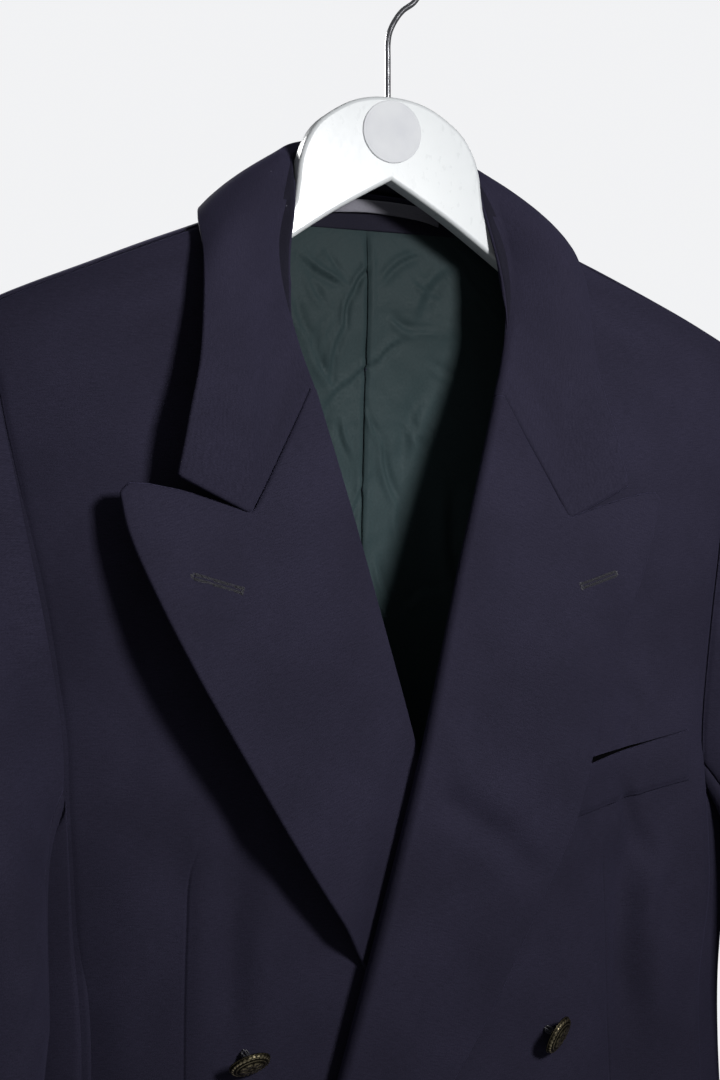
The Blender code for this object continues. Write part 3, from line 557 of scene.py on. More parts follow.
# %% Hanger body, hook and disc
HANGER = {
    "x": (0, 12, 23, 34, 44, 50.5, 54.5, 56, 58.5, 71, 90, 110, 132, 160, 190, 212, 219, 219, 210, 186, 156, 126,
          96, 68, 36, 16, 0),
    "z": (-91, -92, -95, -101, -109, -119, -131, -144, -156, -167, -177.5, -188, -198, -211, -225, -236, -242,
          -249, -254, -245, -231, -217, -201, -181, -159, -147, -138),
}
HANGER_THICK = 12.0
EASED = 2.2
WIRE_DIA = 3.2
HOOK_INSIDE = 20.0
DISC_Z = -111


def as_mesh(name, made, finish, node):
    bpy.context.scene.collection.objects.link(made)
    bpy.context.view_layer.update()
    graph = bpy.context.evaluated_depsgraph_get()
    mesh = bpy.data.meshes.new_from_object(made.evaluated_get(graph))
    mesh.transform(made.matrix_world)
    bpy.data.objects.remove(made)
    mesh.materials.clear()
    mesh.materials.append(finish)
    made = bpy.data.objects.new(name, mesh)
    bpy.context.scene.collection.objects.link(made)
    print(name, len(mesh.polygons), "faces")
    return enter(made, node)


def hanger_outline(count):
    x, z = np.array(HANGER["x"], float), np.array(HANGER["z"], float)
    reach = run_along(np.stack((x, z), 1))
    at = np.linspace(0, reach[-1], count)
    x, z = smooth(at, reach, x), smooth(at, reach, z)
    return np.concatenate((np.stack((x, z), 1), np.stack((-x[-2:0:-1], z[-2:0:-1]), 1)))


def draw_line(curve, points):
    spline = curve.splines.new("POLY")
    spline.points.add(len(points) - 1)
    for point, place in zip(spline.points, points):
        point.co = (*(c * MM for c in place), 1)
    return spline


board = bpy.data.curves.new("board", "CURVE")
board.dimensions, board.fill_mode = "2D", "BOTH"
board.extrude, board.bevel_depth, board.offset = (HANGER_THICK / 2 - EASED) * MM, EASED * MM, -EASED * MM
board.bevel_resolution = 4
draw_line(board, [(x, z, 0) for x, z in hanger_outline(130)]).use_cyclic_u = True
board = bpy.data.objects.new("board", board)
board.rotation_euler = (pi / 2, 0, 0)
hanger = as_mesh("white_hanger_body", board, lacquer, "hanger_body")
hanger.data.polygons.foreach_set("use_smooth", np.ones(len(hanger.data.polygons), bool))
hanger.data.set_sharp_from_angle(angle=radians(35))

arc_r = HOOK_INSIDE + WIRE_DIA / 2
route = {"x": [0, 0, 0, 0, 1.2, 4.6, 9.2], "z": [HANGER["z"][0] + SEAM, -80, -68, -60, -53, -46, -40]}
for turn in range(-46, 206, 12):
    route["x"].append(arc_r * cos(radians(turn)))
    route["z"].append(-HOOK_INSIDE + arc_r * sin(radians(turn)))
stops = range(len(route["x"]))
at = np.linspace(0, stops[-1], 140)
wire = bpy.data.curves.new("wire", "CURVE")
wire.dimensions, wire.bevel_depth, wire.bevel_resolution, wire.use_fill_caps = "3D", WIRE_DIA / 2 * MM, 6, True
draw_line(wire, [(x, 0, z) for x, z in zip(smooth(at, stops, route["x"]), smooth(at, stops, route["z"]))])
as_mesh("wire_hook", bpy.data.objects.new("wire", wire), chrome, "hanger_hook")

disc_profile = np.array(((0.0, 0.5), (15.6, 0.5), (15.9, 0.46), (16.3, 0.5), (17.1, 0.5), (17.5, 0.3), (17.5, 0.0)))
around = np.radians(np.arange(0, 360, 4))
disc_y = HANGER_THICK / 2 + SEAM
disc_points = [(0, -(disc_y + 0.5), DISC_Z)]
for r, h in disc_profile[1:]:
    disc_points += [(r * cos(a), -(disc_y + h), DISC_Z + r * sin(a)) for a in around]
n = len(around)
disc_faces = [(0, 1 + k, 1 + (k + 1) % n, 1 + (k + 1) % n) for k in range(n)]
for ring in range(len(disc_profile) - 2):
    a, b = 1 + ring * n, 1 + (ring + 1) * n
    disc_faces += [(a + k, b + k, b + (k + 1) % n, a + (k + 1) % n) for k in range(n)]
disc_mesh = bpy.data.meshes.new("plain_disc")
disc_mesh.from_pydata([tuple(c * MM for c in p) for p in disc_points], [],
                      [tuple(dict.fromkeys(face)) for face in disc_faces])
as_mesh("plain_disc", bpy.data.objects.new("disc", disc_mesh), paper, "hanger_disc")

# %% [markdown]
# ## Folds and seams
#
# Hung wool keeps a few soft creases where it is pulled, and it rolls down a little into every seam. Each
# crease is a row in a table: where it starts and ends, how wide it is and how far it rises or sinks. A
# crease is a rounded trough with a low ridge on both sides, fading out at its ends. Cloth simulation could
# find folds of its own, but these are the folds this garment has, so they are listed one by one.

# %% Creases, soft waves and seam dips
def folds(a, b, rows):
    height = np.zeros(np.shape(a))
    for a0, b0, a1, b1, width, rise in rows:
        length = np.hypot(a1 - a0, b1 - b0)
        along = ((a - a0) * (a1 - a0) + (b - b0) * (b1 - b0)) / length**2
        across = ((a - a0) * (b1 - b0) - (b - b0) * (a1 - a0)) / length / width
        ends = ease(along, -0.25, 0.3) * (1 - ease(along, 0.7, 1.25))
        height += rise * ends * (np.exp(-across**2) - 0.28 * np.exp(-((np.abs(across) - 1.9) ** 2)))
    return height


def waves(a, b, height, seed):
    return height * (np.sin(a / 21 + np.sin(b / 83 + seed) + seed) * 0.45
                     + np.sin(a / 37 - b / 190 + 2.1 * seed) * 0.7
                     + np.sin(b / 47 + np.sin(a / 55 - seed) * 1.3) * 0.3)


def from_edges(place):
    right, down = np.zeros(place.shape[:2]), np.zeros(place.shape[:2])
    right[:, 1:] = np.cumsum(np.linalg.norm(np.diff(place, axis=1), axis=2), 1)
    down[1:] = np.cumsum(np.linalg.norm(np.diff(place, axis=0), axis=2), 0)
    return {"first": right, "last": right[:, -1:] - right, "top": down, "foot": down[-1:] - down}


def seam_dip(place, edges, depth=1.1, reach=2.4):
    distance = from_edges(place)
    return -sum(depth * hump(distance[edge], reach) for edge in edges)


print("a crease sinks", round(float(folds(5.0, 0.0, [(0, 0, 10, 0, 3, -1.5)])), 2), "mm at its middle")

# %% [markdown]
# ## The armhole and the two fronts
#
# A front runs from the shoulder seam to the hem, between the neckline, roll line and front edge on one side
# and the armhole and side seam on the other. The left front closes over the right one, so it stands out
# where they overlap. A long dart shapes the waist: it is a seam in the middle of the cloth, so the grid's
# columns are gathered towards it and the cloth dips into it.

# %% Armhole, overlap and front edges
ARMHOLE = {
    "turn": (0, 18, 40, 62, 82, 98, 112, 140, 165, 190, 215, 240, 262, 285, 312, 340, 360),
    "girth": (1, 0.925, 0.882, 0.84, 0.80, 0.776, 0.775, 0.80, 0.90, 1.02, 1.13, 1.22, 1.235, 1.205, 1.15, 1.08, 1),
    "level": (-226, -243, -282, -333, -385, -432, -460, -484, -498, -501, -494, -470, -430, -375, -305, -250, -226),
}
FRONT_TURN = 118.0
BACK_TURN = 240.0
FRONT_CORNER_DOWN = 0.42
BACK_CORNER_DOWN = 0.40
INNER_EDGE = {
    "down": (0.0, 0.05, 0.11, 0.17, 0.22, 0.70, 0.76, 1.0),
    "left": ((81, -156), (84, -180), (84, -208), (77, -236), (60, -264), (-69.5, BREAK_Z), (-78, -745), (-78, HEM_Z)),
    "right": ((81, -156), (84, -180), (84, -208), (77, -236), (60, -264), (-66, BREAK_Z), (-78, -745), (-78, HEM_Z)),
}


def armhole(turn):
    return smooth(turn, ARMHOLE["turn"], ARMHOLE["girth"]), smooth(turn, ARMHOLE["turn"], ARMHOLE["level"])


def left_rise(x, z):
    return OVERLAP_RISE * (1 - ease(x, 84, 136)) * (0.12 + 0.88 * (1 - ease(z, -470, -330)))


def side_seam(turn, seam_girth, share):
    girth, level = armhole(turn)
    return girth + (seam_girth - girth) * ease(share, 0, 0.2), level + (HEM_Z - level) * share


def front_edges(side, down):
    share = np.clip((down - FRONT_CORNER_DOWN) / (1 - FRONT_CORNER_DOWN), 0, 1)
    hole = armhole(np.clip(down / FRONT_CORNER_DOWN, 0, 1) * FRONT_TURN)
    seam = side_seam(FRONT_TURN, FRONT_SEAM_T, share)
    below = down > FRONT_CORNER_DOWN
    outer = [np.where(below, seam[k], hole[k]) for k in (0, 1)]
    outer[0] = outer[0] - HALF_GAP
    places = np.array(INNER_EDGE[side], float)
    x, z = (smooth(down, INNER_EDGE["down"], places[:, k]) for k in (0, 1))
    inset = 4.5 * ease(down, 0.16, 0.24) * (1 - ease(down, 0.66, 0.72))
    inner = list(on_body(x + inset, z))
    inner[0][0], inner[1][0] = 1.0 - 3 * HALF_GAP, NECK_Z - 1.0
    outer[0][0] = inner[0][0]
    return inner, outer


print("armhole length", round(float(run_along(body_point(*armhole(np.linspace(0, 360, 200))))[-1])), "mm round")

# %% Fronts with darts and creases
# Each row: x and z of its start, x and z of its end, width, rise. x is out from the centre on its own side.
FRONT_FOLDS = {
    "left": ((140, -476, 146, -520, 4.5, -3.2), (155, -530, 150, -560, 8, -2.6), (147, -560, 138, -612, 9, -2.2),
             (182, -480, 182, -700, 30, 9.0), (130, -478, 137, -512, 4.5, -3.4), (139, -476, 147, -510, 4.5, 3.0),
             (132, -522, 129, -604, 9, -4.6), (148, -520, 146, -612, 10, 4.4), (131, -440, 136, -455, 5, -2.6),
             (100, -492, 102, -520, 8, -1.6),
             (135, -422, 139, -446, 6, -1.8), (60, -524, 150, -492, 9, 1.1), (171, -452, 186, -560, 12, 1.4),
             (176, -575, 170, -660, 12, -1.8), (96, -560, 100, -640, 14, 1.0), (150, -640, 128, -700, 12, 1.2),
             (60, -790, 84, -880, 16, 1.6), (150, -800, 138, -890, 15, -1.8), (186, -400, 190, -470, 10, -1.2)),
    "right": ((104, -486, 104, -592, 9, -4.6), (92, -468, 93, -530, 8, -2.0), (106, -480, 112, -560, 11, 1.2),
              (150, -500, 158, -640, 15, 1.5),
              (182, -560, 176, -690, 12, -1.8), (70, -590, 82, -640, 12, -1.3), (165, -330, 172, -420, 16, 1.3),
              (148, -440, 160, -470, 9, -1.2), (60, -640, 76, -700, 14, 1.0), (120, -800, 128, -890, 15, 1.6),
              (170, -790, 160, -890, 15, -1.8)),
}
DART = {
    "left": {"z": (-507, -540, -580, -643, -700), "x": (113, 115, 117, 120, 121)},
    "right": {"z": (-497, -510, -540, -617, -700), "x": (120, 125, 127, 128, 127)},
}


def front_relief(side, x, z):
    dart = DART[side]
    off = x - smooth(z, dart["z"], dart["x"])
    sewn = ease(-z, -dart["z"][0] - 2, -dart["z"][0] + 26) * (1 - ease(-z, 690, 706))
    pinch = -0.95 * hump(off, 0.75) - 0.8 * hump(off, 5.0)
    calm = 0.15 + 0.85 * ease(x, 40, 100)
    relief = folds(x, z, FRONT_FOLDS[side]) * calm + waves(x, z, 0.75, 0.4 if side == "left" else 1.7) * calm
    return relief * (1 - ease(z, -300, -230) * 0.6) + pinch * sewn


def gathered_columns(count, focus, strength=9.0, width=0.03):
    fine = np.linspace(0, 1, 1200)
    edges = 1.2 * hump(1 - fine, 0.03) + 1.2 * hump(fine, 0.03)
    rows = []
    for place in focus:
        thick = np.cumsum(1 + edges + strength * hump(fine - place, width))
        rows.append(np.interp(np.linspace(thick[0], thick[-1], count), thick, fine))
    return np.array(rows)


for side in ("left", "right"):
    down = spread(204, 0.25)
    inner, outer = front_edges(side, down)
    ends = [body_point(*edge)[:, 0] for edge in (inner, outer)]
    level_mid = (inner[1] + outer[1]) / 2
    focus = (smooth(level_mid, DART[side]["z"], DART[side]["x"]) - ends[0]) / (ends[1] - ends[0])
    u = gathered_columns(96, np.clip(focus, 0.05, 0.95))
    girth, level = (mix(inner[k][:, None], outer[k][:, None], u) for k in (0, 1))
    place = body_point(girth, level)
    lift = front_relief(side, place[..., 0], place[..., 2]) + seam_dip(place, ("last", "top"))
    if side == "left":
        mouth = folds(place[..., 0], place[..., 2], [(60, -463, 112, -452, 7, -2.4)])
        lift = lift + left_rise(place[..., 0], place[..., 2]) + mouth
    sew(side + "_front", raised(girth, level, lift), flat_of(girth, level), WALL, wool, side == "right")

# %% [markdown]
# ## Side panels and backs
#
# The side panel closes the body under the arm, and two backs meet in a centre seam. Their edges use the
# same seam lines as the fronts, so every pair of edges matches along its whole length. Long slow waves and
# a few drag folds from the shoulder blades keep them from looking pressed flat.

# %% Side panels
v = spread(110, 0.2)[:, None]
u = spread(36, 0.6)
top_girth, top_level = armhole(FRONT_TURN + (BACK_TURN - FRONT_TURN) * u)
front_girth, front_level = side_seam(FRONT_TURN, FRONT_SEAM_T, v)
back_girth, back_level = side_seam(BACK_TURN, BACK_SEAM_T, v)
girth = mix(front_girth + HALF_GAP, back_girth - HALF_GAP, u)
level = mix(front_level, back_level, u)
girth = girth + (top_girth - mix(top_girth[0], top_girth[-1], u)) * (1 - v) ** 3
level = level + (top_level - mix(top_level[0], top_level[-1], u)) * (1 - v)
pattern = flat_of(girth, level)
for side, seed in (("left", 0.9), ("right", 2.3)):
    relief = waves(girth * HALF_GIRTH, level, 0.7, seed) + seam_dip(body_point(girth, level), ("first", "last", "top"))
    sew(side + "_side_panel", raised(girth, level, relief), pattern, WALL, wool, side == "right")

# %% Backs
# Each row: x and z of its start, x and z of its end, width, rise.
BACK_FOLDS = {
    "left": ((60, -230, 150, -300, 16, 1.4), (185, -330, 160, -450, 13, -2.0), (120, -420, 96, -560, 16, 1.6),
             (60, -560, 130, -590, 11, -1.3), (40, -620, 52, -760, 17, 1.6), (128, -640, 140, -800, 15, -1.7)),
    "right": ((70, -220, 160, -310, 15, 1.6), (178, -340, 150, -470, 14, -2.2), (110, -430, 90, -540, 15, 1.3),
              (50, -575, 120, -600, 12, -1.5), (48, -640, 56, -790, 16, 1.3), (136, -660, 130, -810, 14, -1.6)),
}
down = spread(190, 0.25)
share = np.clip((down - BACK_CORNER_DOWN) / (1 - BACK_CORNER_DOWN), 0, 1)
hole = armhole(360 - np.clip(down / BACK_CORNER_DOWN, 0, 1) * (360 - BACK_TURN))
seam = side_seam(BACK_TURN, BACK_SEAM_T, share)
side_girth, side_level = (np.where(down > BACK_CORNER_DOWN, seam[k], hole[k]) for k in (0, 1))
side_girth = side_girth + HALF_GAP
ridge, centre = 1 + 3 * HALF_GAP, 2 - HALF_GAP
side_girth[0] = ridge
u = spread(76, 0.6)
top_girth = np.interp(u, (0, 0.6, 0.7, 0.85, 1.0), (ridge, ridge, 1.28, 1.7, centre))
top_level = np.interp(u, (0, 0.6, 0.7, 0.85, 1.0), (SHOULDER_Z, NECK_Z - 1, -147, -139, NAPE_Z))
fade = (1 - ease(down, 0, 0.42))[:, None]
centre_level = (NAPE_Z + (HEM_Z - NAPE_Z) * down)[:, None]
girth = mix(side_girth[:, None], centre, u) + (top_girth - (ridge + (centre - ridge) * u)) * fade
level = mix(side_level[:, None], centre_level, u) + (top_level - (SHOULDER_Z + (NAPE_Z - SHOULDER_Z) * u)) * fade
place = body_point(girth, level)
pattern = flat_of(girth, level)
for side, seed in (("left", 1.2), ("right", 2.9)):
    x, z = place[..., 0], place[..., 2]
    relief = folds(x, z, BACK_FOLDS[side]) + waves(x, z, 0.8, seed)
    relief = relief * ease(-z, 150, 240) + seam_dip(place, ("first", "last", "top"))
    sew(side + "_back", raised(girth, level, relief), pattern, WALL, wool, side == "right")

# %% [markdown]
# ## Peak lapels
#
# A lapel is the front turned back on itself along the roll line. Its face starts as a facing inside the
# front, passes over a soft rolled fold and reaches out to a peak that points at the shoulder. So the grid
# has three stretches of columns: a few inside, a rounded roll, and the wide face, which bellies out and
# stands off the chest at its edge. Two layers of cloth and canvas make it thicker than the body.

# %% Lapel outline and height
GORGE = {"x": (57, 93), "z": (-260, -327)}
GORGE_DIP = 1.3
GORGE_DIP_WIDTH = 1.5
PEAK = {
    "left": {"x": (93, 109, 127, 143, 152, 155), "z": (-327, -322, -316.5, -312.5, -312, -315)},
    "right": {"x": (93, 110, 130, 148, 158, 162), "z": (-327, -322, -317, -314, -314, -318)},
}
LAPEL_EDGE = {
    "left": {"z": (-315, -347, -391, -425, -455, -493, -541, -589, -627, -662, -692, BREAK_Z),
             "x": (155, 145, 126, 111, 100, 86, 61, 36, 12, -16, -43, -61)},
    "right": {"z": (-318, -337, -371, -409, -439, -463, -488, -512, -556, -610, -665, BREAK_Z),
              "x": (162.4, 158.9, 145.9, 127.8, 111.2, 97.2, 82.1, 66.5, 36.4, 5.7, -30, -57)},
}
ROLL = {"left": {"z": (-260, BREAK_Z), "x": (57, -72)}, "right": {"z": (-260, BREAK_Z), "x": (57, -68)}}
LAPEL_LIFT = {
    "left": {"down": (0, 0.2, 0.45, 0.7, 1), "roll": (5, 5, 8, 9, 3.2), "mid": (8, 9, 10, 9, 3.4),
             "edge": (8, 8, 9, 7, 3.2)},
    "right": {"down": (0, 0.2, 0.42, 0.6, 0.8, 1), "roll": (5, 5, 5, 4.8, 4.2, 3.4),
              "mid": (11.5, 18, 16, 9.5, 5, 3.4), "edge": (22, 37, 32, 17, 7, 3.4)},
}
LAPEL_FOLDS = {
    "left": ((2, -474, 40, -498, 7.5, -2.6), (34, -493, 62, -520, 8, -2.2), (10, -455, 52, -484, 12, 1.5),
             (30, -540, 44, -580, 10, 0.8), (100, -352, 122, -420, 14, 0.7)),
    "right": ((40, -420, 66, -470, 14, 0.9), (118, -352, 96, -430, 12, -0.8), (0, -540, 30, -590, 12, -0.7)),
}


def lapel_outline(side, u, v):
    roll, edge, peak = ROLL[side], LAPEL_EDGE[side], PEAK[side]
    roll_z = roll["z"][0] + (BREAK_Z - roll["z"][0]) * v
    roll_x = np.interp(roll_z, roll["z"][::-1], roll["x"][::-1])
    edge_z = edge["z"][0] + (BREAK_Z - edge["z"][0]) * v
    edge_x = smooth(edge_z, edge["z"], edge["x"])
    top_x = np.concatenate((GORGE["x"], peak["x"][1:]))
    top_z = np.concatenate((GORGE["z"], peak["z"][1:]))
    reach = run_along(np.stack((top_x, top_z), 1))
    reach /= reach[-1]
    fade = (1 - ease(v, -0.12, 0.42)) / (1 - ease(0.0, -0.12, 0.42))
    bump_x = np.interp(u, reach, top_x) - (top_x[0] + (top_x[-1] - top_x[0]) * u)
    bump_z = np.interp(u, reach, top_z) - (top_z[0] + (top_z[-1] - top_z[0]) * u)
    return roll_x + (edge_x - roll_x) * u + bump_x * fade, roll_z + (edge_z - roll_z) * u + bump_z * fade


def lapel_lift(side, u, v):
    table = LAPEL_LIFT[side]
    roll, mid, edge = (smooth(v, table["down"], table[name]) for name in ("roll", "mid", "edge"))
    lift = roll * (1 - u) * (1 - 2 * u) + 4 * mid * u * (1 - u) + edge * u * (2 * u - 1)
    x, z = lapel_outline(side, u, v)
    if side == "left":
        return lift + left_rise(x, z)
    uncovered = x + np.interp(z, ROLL["left"]["z"][::-1], ROLL["left"]["x"][::-1])
    held = 1 - ease(uncovered, -1, 26)
    return lift * (1 - held) + np.minimum(lift, OVERLAP_RISE - 6.0) * held


print("peak height over the chest", float(lapel_lift("right", np.array([[1.0]]), np.array([[0.0]]))[0, 0]), "mm")

# %% Lapels
INSIDE_LIFT = -3.9
ROLL_BULGE = 4.0
face_u = spread(72, 0.5)
inside = np.linspace(9, 0, 4)[:-1]
turn = np.linspace(0, pi, 15)[:-1]
for side in ("left", "right"):
    down = spread(176, 0.45)
    u, v = np.meshgrid(face_u, down)
    x, z = lapel_outline(side, u, v)
    relief = folds(x, z, LAPEL_FOLDS[side]) + waves(x, z, 0.3, 3.1)
    from_gorge = np.hypot(x - x[:1], z - z[:1])
    relief = relief - GORGE_DIP * hump(from_gorge, GORGE_DIP_WIDTH) * (1 - ease(u, 0.44, 0.54))
    face_lift = lapel_lift(side, u, v) + relief * ease(u, 0.02, 0.2) * (1 - ease(u, 0.9, 1.0) * 0.6)
    run = np.array((ROLL[side]["x"][0] - ROLL[side]["x"][1], ROLL[side]["z"][0] - ROLL[side]["z"][1]), float)
    out_x, out_z = np.array((run[1], -run[0])) / np.hypot(*run)
    base_lift = left_rise(x[:, :1], z[:, :1]) if side == "left" else 0.0
    closing = (1 - ease(down, 0.86, 1.0))[:, None]
    bulge = -ROLL_BULGE * np.sin(turn) * (0.35 + 0.65 * closing)
    offset = np.concatenate((np.broadcast_to(inside, (len(down), 3)) * closing, bulge), 1)
    roll_lift = face_lift[:, :1]
    low = base_lift + INSIDE_LIFT
    wrap_lift = (low + roll_lift) / 2 - (roll_lift - low) / 2 * np.cos(turn)
    wrap_x, wrap_z = x[:, :1] + offset * out_x, z[:, :1] + offset * out_z
    all_x, all_z = np.concatenate((wrap_x, x), 1), np.concatenate((wrap_z, z), 1)
    all_lift = np.concatenate((np.broadcast_to(low, (len(down), 1)) + np.zeros(3), wrap_lift, face_lift), 1)
    girth, level = on_body(all_x - 0.2, all_z - 0.2)
    wall = np.concatenate((np.full(6, 1.5), np.linspace(1.5, LAPEL_WALL, 8), np.full(len(face_u) + 3, LAPEL_WALL)))
    stretch = np.concatenate((-15.0 - inside, -15.0 + 15.0 * turn / pi, 0 * face_u))
    pattern = np.stack((all_x * 0.94 - all_z * 0.28 + stretch, all_z * 0.94 + all_x * 0.28), -1)
    sew(side + "_lapel", raised(girth, level, all_lift), pattern, wall, wool, side == "right", rim=0.42)

# %% [markdown]
# ## Collar and stand
#
# The collar's fall rises from its outer edge, rolls over a fold at the neck and passes down inside, where
# the stand takes over and meets the neck seam. Its front ends meet the lapels along the gorge seam, then
# leave them at the notch. The fold here is a half ring of columns between the measured fold line and the
# top of the stand, so that no hard edge shows from above.

# %% Collar
COLLAR_POINT = (131.5, -308.0)
COLLAR = {
    "round": (0, 0.14, 0.28, 0.40, 0.50, 0.62, 0.75, 0.88, 1),
    "fold": ((0, 38, -108), (33, 34, -110), (56, 18, -119), (63.5, 3, -130), (67.5, -7, -152),
             (71.5, -14, -181), (70, -22, -212), (64, -28, -238), (57, -33, -260)),
    "middle": ((0, 46, -130), (42, 42, -131), (74, 24, -135), (89, 1, -143), (94, -20, -166),
               (95, -27, -197), (94, -32, -229), (94, -36, -262), (95, -41, -292)),
    "edge": ((0, 49, -159), (50, 47, -158), (92, 34, -157), (111, 0, -162), (114, -20, -187),
             (115, -26, -216), (118, -31, -248), (125, -35, -279), (132, -37, -309)),
}
END_RISE = {"left": 5.0, "right": 9.0}
STAND_OFF = {"round": (0.40, 0.50, 0.62, 0.75, 0.88, 1), "more": (0, 3, 10, 15, 17, 13)}
STAND_OFF_WAY = np.array((0.28, -0.95, -0.1))
GORGE_SHARE = 0.65
STAND_END = 0.48
HALF_COLLAR_LONG, FALL_DEEP, ROLL_DEEP = 290, 58, 14


def collar_end(across, rise):
    x = np.array((*GORGE["x"], COLLAR_POINT[0]), float)
    z = np.array((*GORGE["z"], COLLAR_POINT[1]), float)
    reach = run_along(np.stack((x, z), 1))
    reach /= reach[-1]
    girth, level = on_body(np.interp(across, reach, x) + 0.15, np.interp(across, reach, z) + 0.2)
    return raised(girth, level, 5 + rise * across)


def neck_line(share):
    points = ((0, 34, -136), (40, 31, -138), (68, 18, -146), (77.5, 3, -153), (77.5, -8, -167))
    return smooth(share, np.linspace(0, 1, len(points)), points)


def stand_top(around):
    """Top of the stand from the centre back (0) round to the gorge (1), behind the fold."""
    fold = smooth(around, COLLAR["round"], COLLAR["fold"])
    share = np.clip(around / STAND_END, 0, 1)
    inward = -neck_line(share)
    inward[:, 2] = 0
    behind = unit(inward) * (5.4 + 3.4 * share[:, None] ** 2) - np.array((0, 0, 2.6))
    girth, level = on_body(fold[:, 0], fold[:, 2])
    flat = raised(girth, level, np.full(len(around), INSIDE_LIFT)) - fold
    blend_in = ease(around, 0.5, 1.0)[:, None]
    return fold + behind * (1 - blend_in) + flat * blend_in


def half_collar(side, around, across, turn):
    a, w = np.meshgrid(around, across, indexing="ij")
    line = {name: smooth(a, COLLAR["round"], COLLAR[name]) for name in ("fold", "middle", "edge")}
    w1 = w[..., None]
    face = (line["fold"] * (1 - w1) * (1 - 2 * w1) + 4 * line["middle"] * w1 * (1 - w1)
            + line["edge"] * w1 * (2 * w1 - 1))
    fade = ease(a, 0.45, 1.0)[..., None]
    face = face + (collar_end(across, END_RISE[side]) - face[-1])[None] * fade
    if side == "right":
        near_end = ease(a, 0.8, 1.0)
        share = w**2 * (1 - near_end) + ease(w, 0.55, 1.0) * near_end
        face = face + (smooth(a, STAND_OFF["round"], STAND_OFF["more"]) * share)[..., None] * STAND_OFF_WAY
    fold, top = face[:, 0], stand_top(around)
    along = unit(np.gradient(fold, axis=0))
    up = fold - face[:, 3]
    up = unit(up - along * (up * along).sum(1, keepdims=True))
    height = (1.3 + (ROLL_BULGE - 1.3) * ease(around, 0.5, 1.0))[:, None]
    roll = [top + (fold - top) * (1 - cos(t)) / 2 + up * height * sin(t) for t in turn]
    return np.concatenate((np.stack(roll, 1), face), 1)


around = spread(124, 0.3)
across = spread(60, 0.4)
turn = np.linspace(0, pi, 13)[:-1]
halves = {side: half_collar(side, around, across, turn) for side in ("left", "right")}
collar = np.concatenate(((halves["right"] * np.array((-1, 1, 1)))[:0:-1], halves["left"]))
length = np.concatenate((-around[:0:-1], around)) * HALF_COLLAR_LONG
columns = np.concatenate((ROLL_DEEP * (turn / pi - 1), across * FALL_DEEP))
pattern = np.stack(np.meshgrid(length, columns, indexing="ij"), -1)
wall = np.broadcast_to(np.concatenate((np.linspace(1.4, LAPEL_WALL, len(turn)), np.full(len(across), LAPEL_WALL))),
                       collar.shape[:2])
body = np.concatenate((np.zeros(len(turn)), ease(across, 0.02, 0.3) * (1 - ease(across, 0.85, 1.0))))
swell = waves(pattern[..., 0], pattern[..., 1], 0.35, 5.2) * body
from_gorge = np.minimum(np.linalg.norm(collar - collar[:1], axis=-1), np.linalg.norm(collar - collar[-1:], axis=-1))
sewn = np.concatenate((np.zeros(len(turn)), 1 - ease(across, GORGE_SHARE - 0.06, GORGE_SHARE + 0.02)))
swell = swell - GORGE_DIP * hump(from_gorge, GORGE_DIP_WIDTH) * sewn
normal = unit(np.cross(np.gradient(collar, axis=0), np.gradient(collar, axis=1)))
sew("collar", collar + normal * swell[..., None], pattern, wall, wool, rim=0.42)

# %% [markdown]
# ## The stand inside the neck
#
# The stand is seen from the front above the hanger. It is firm cloth with rows of padding stitches, so it
# is a smooth band from under the fold to the neck seam, and the stitches are added as thread on top of it.
# Here it runs on round to the gorge, as the real one does, so the neck is closed on its inside too.

# %% Stand
rows = np.concatenate((-around[:0:-1], around))
front_line = {"x": (79.5, 82.5, 82.5, 76, 61.5), "z": (-167, -182, -208, -236, -263)}


def stand_grid(count):
    down = np.linspace(0, 1, count)[None, :, None]
    top = stand_top(around)
    share = np.clip(around / STAND_END, 0, 1)
    seam = neck_line(share) + np.array((0, 0, 0.9))
    beyond = np.clip((around - STAND_END) / (1 - STAND_END), 0, 1) * 4
    girth, level = on_body(smooth(beyond, range(5), front_line["x"]), smooth(beyond, range(5), front_line["z"]))
    seam = np.where((around > STAND_END)[:, None], raised(girth, level, np.full(len(around), INSIDE_LIFT)), seam)
    hollow = np.sin(pi * down) * 0.7
    grid = mix(top[:, None], seam[:, None], down)
    inward = unit(-grid * np.array((1, 1, 0)))
    grid = grid + inward * 0.5 - inward * hollow
    return np.concatenate(((grid * np.array((-1, 1, 1)))[:0:-1], grid))


stand = stand_grid(12)
pattern = np.stack(np.meshgrid(rows * 250, np.linspace(0, 28, 12), indexing="ij"), -1)
sew("collar_stand", stand, pattern, 1.5, undercollar_and_shade_wool, flip=True)

# %% [markdown]
# ## Lining, facing and hanging loop
#
# Through the open neck the back's satin lining shows, in two halves with a seam down the middle. Satin is
# thin and lies loosely, so it keeps many small sharp pulls from the seam and the hanger; each is a row in a
# table. Above it come a strip of the suit's own wool, given the darker undercollar finish as painted shade, and the
# loop of tape.

# %% Back lining
FACING_Z = -160.0
LINING_TOP_Z, LINING_Z = -170.0, -720.0
LINING_GIRTH = (1.24, 1.35)
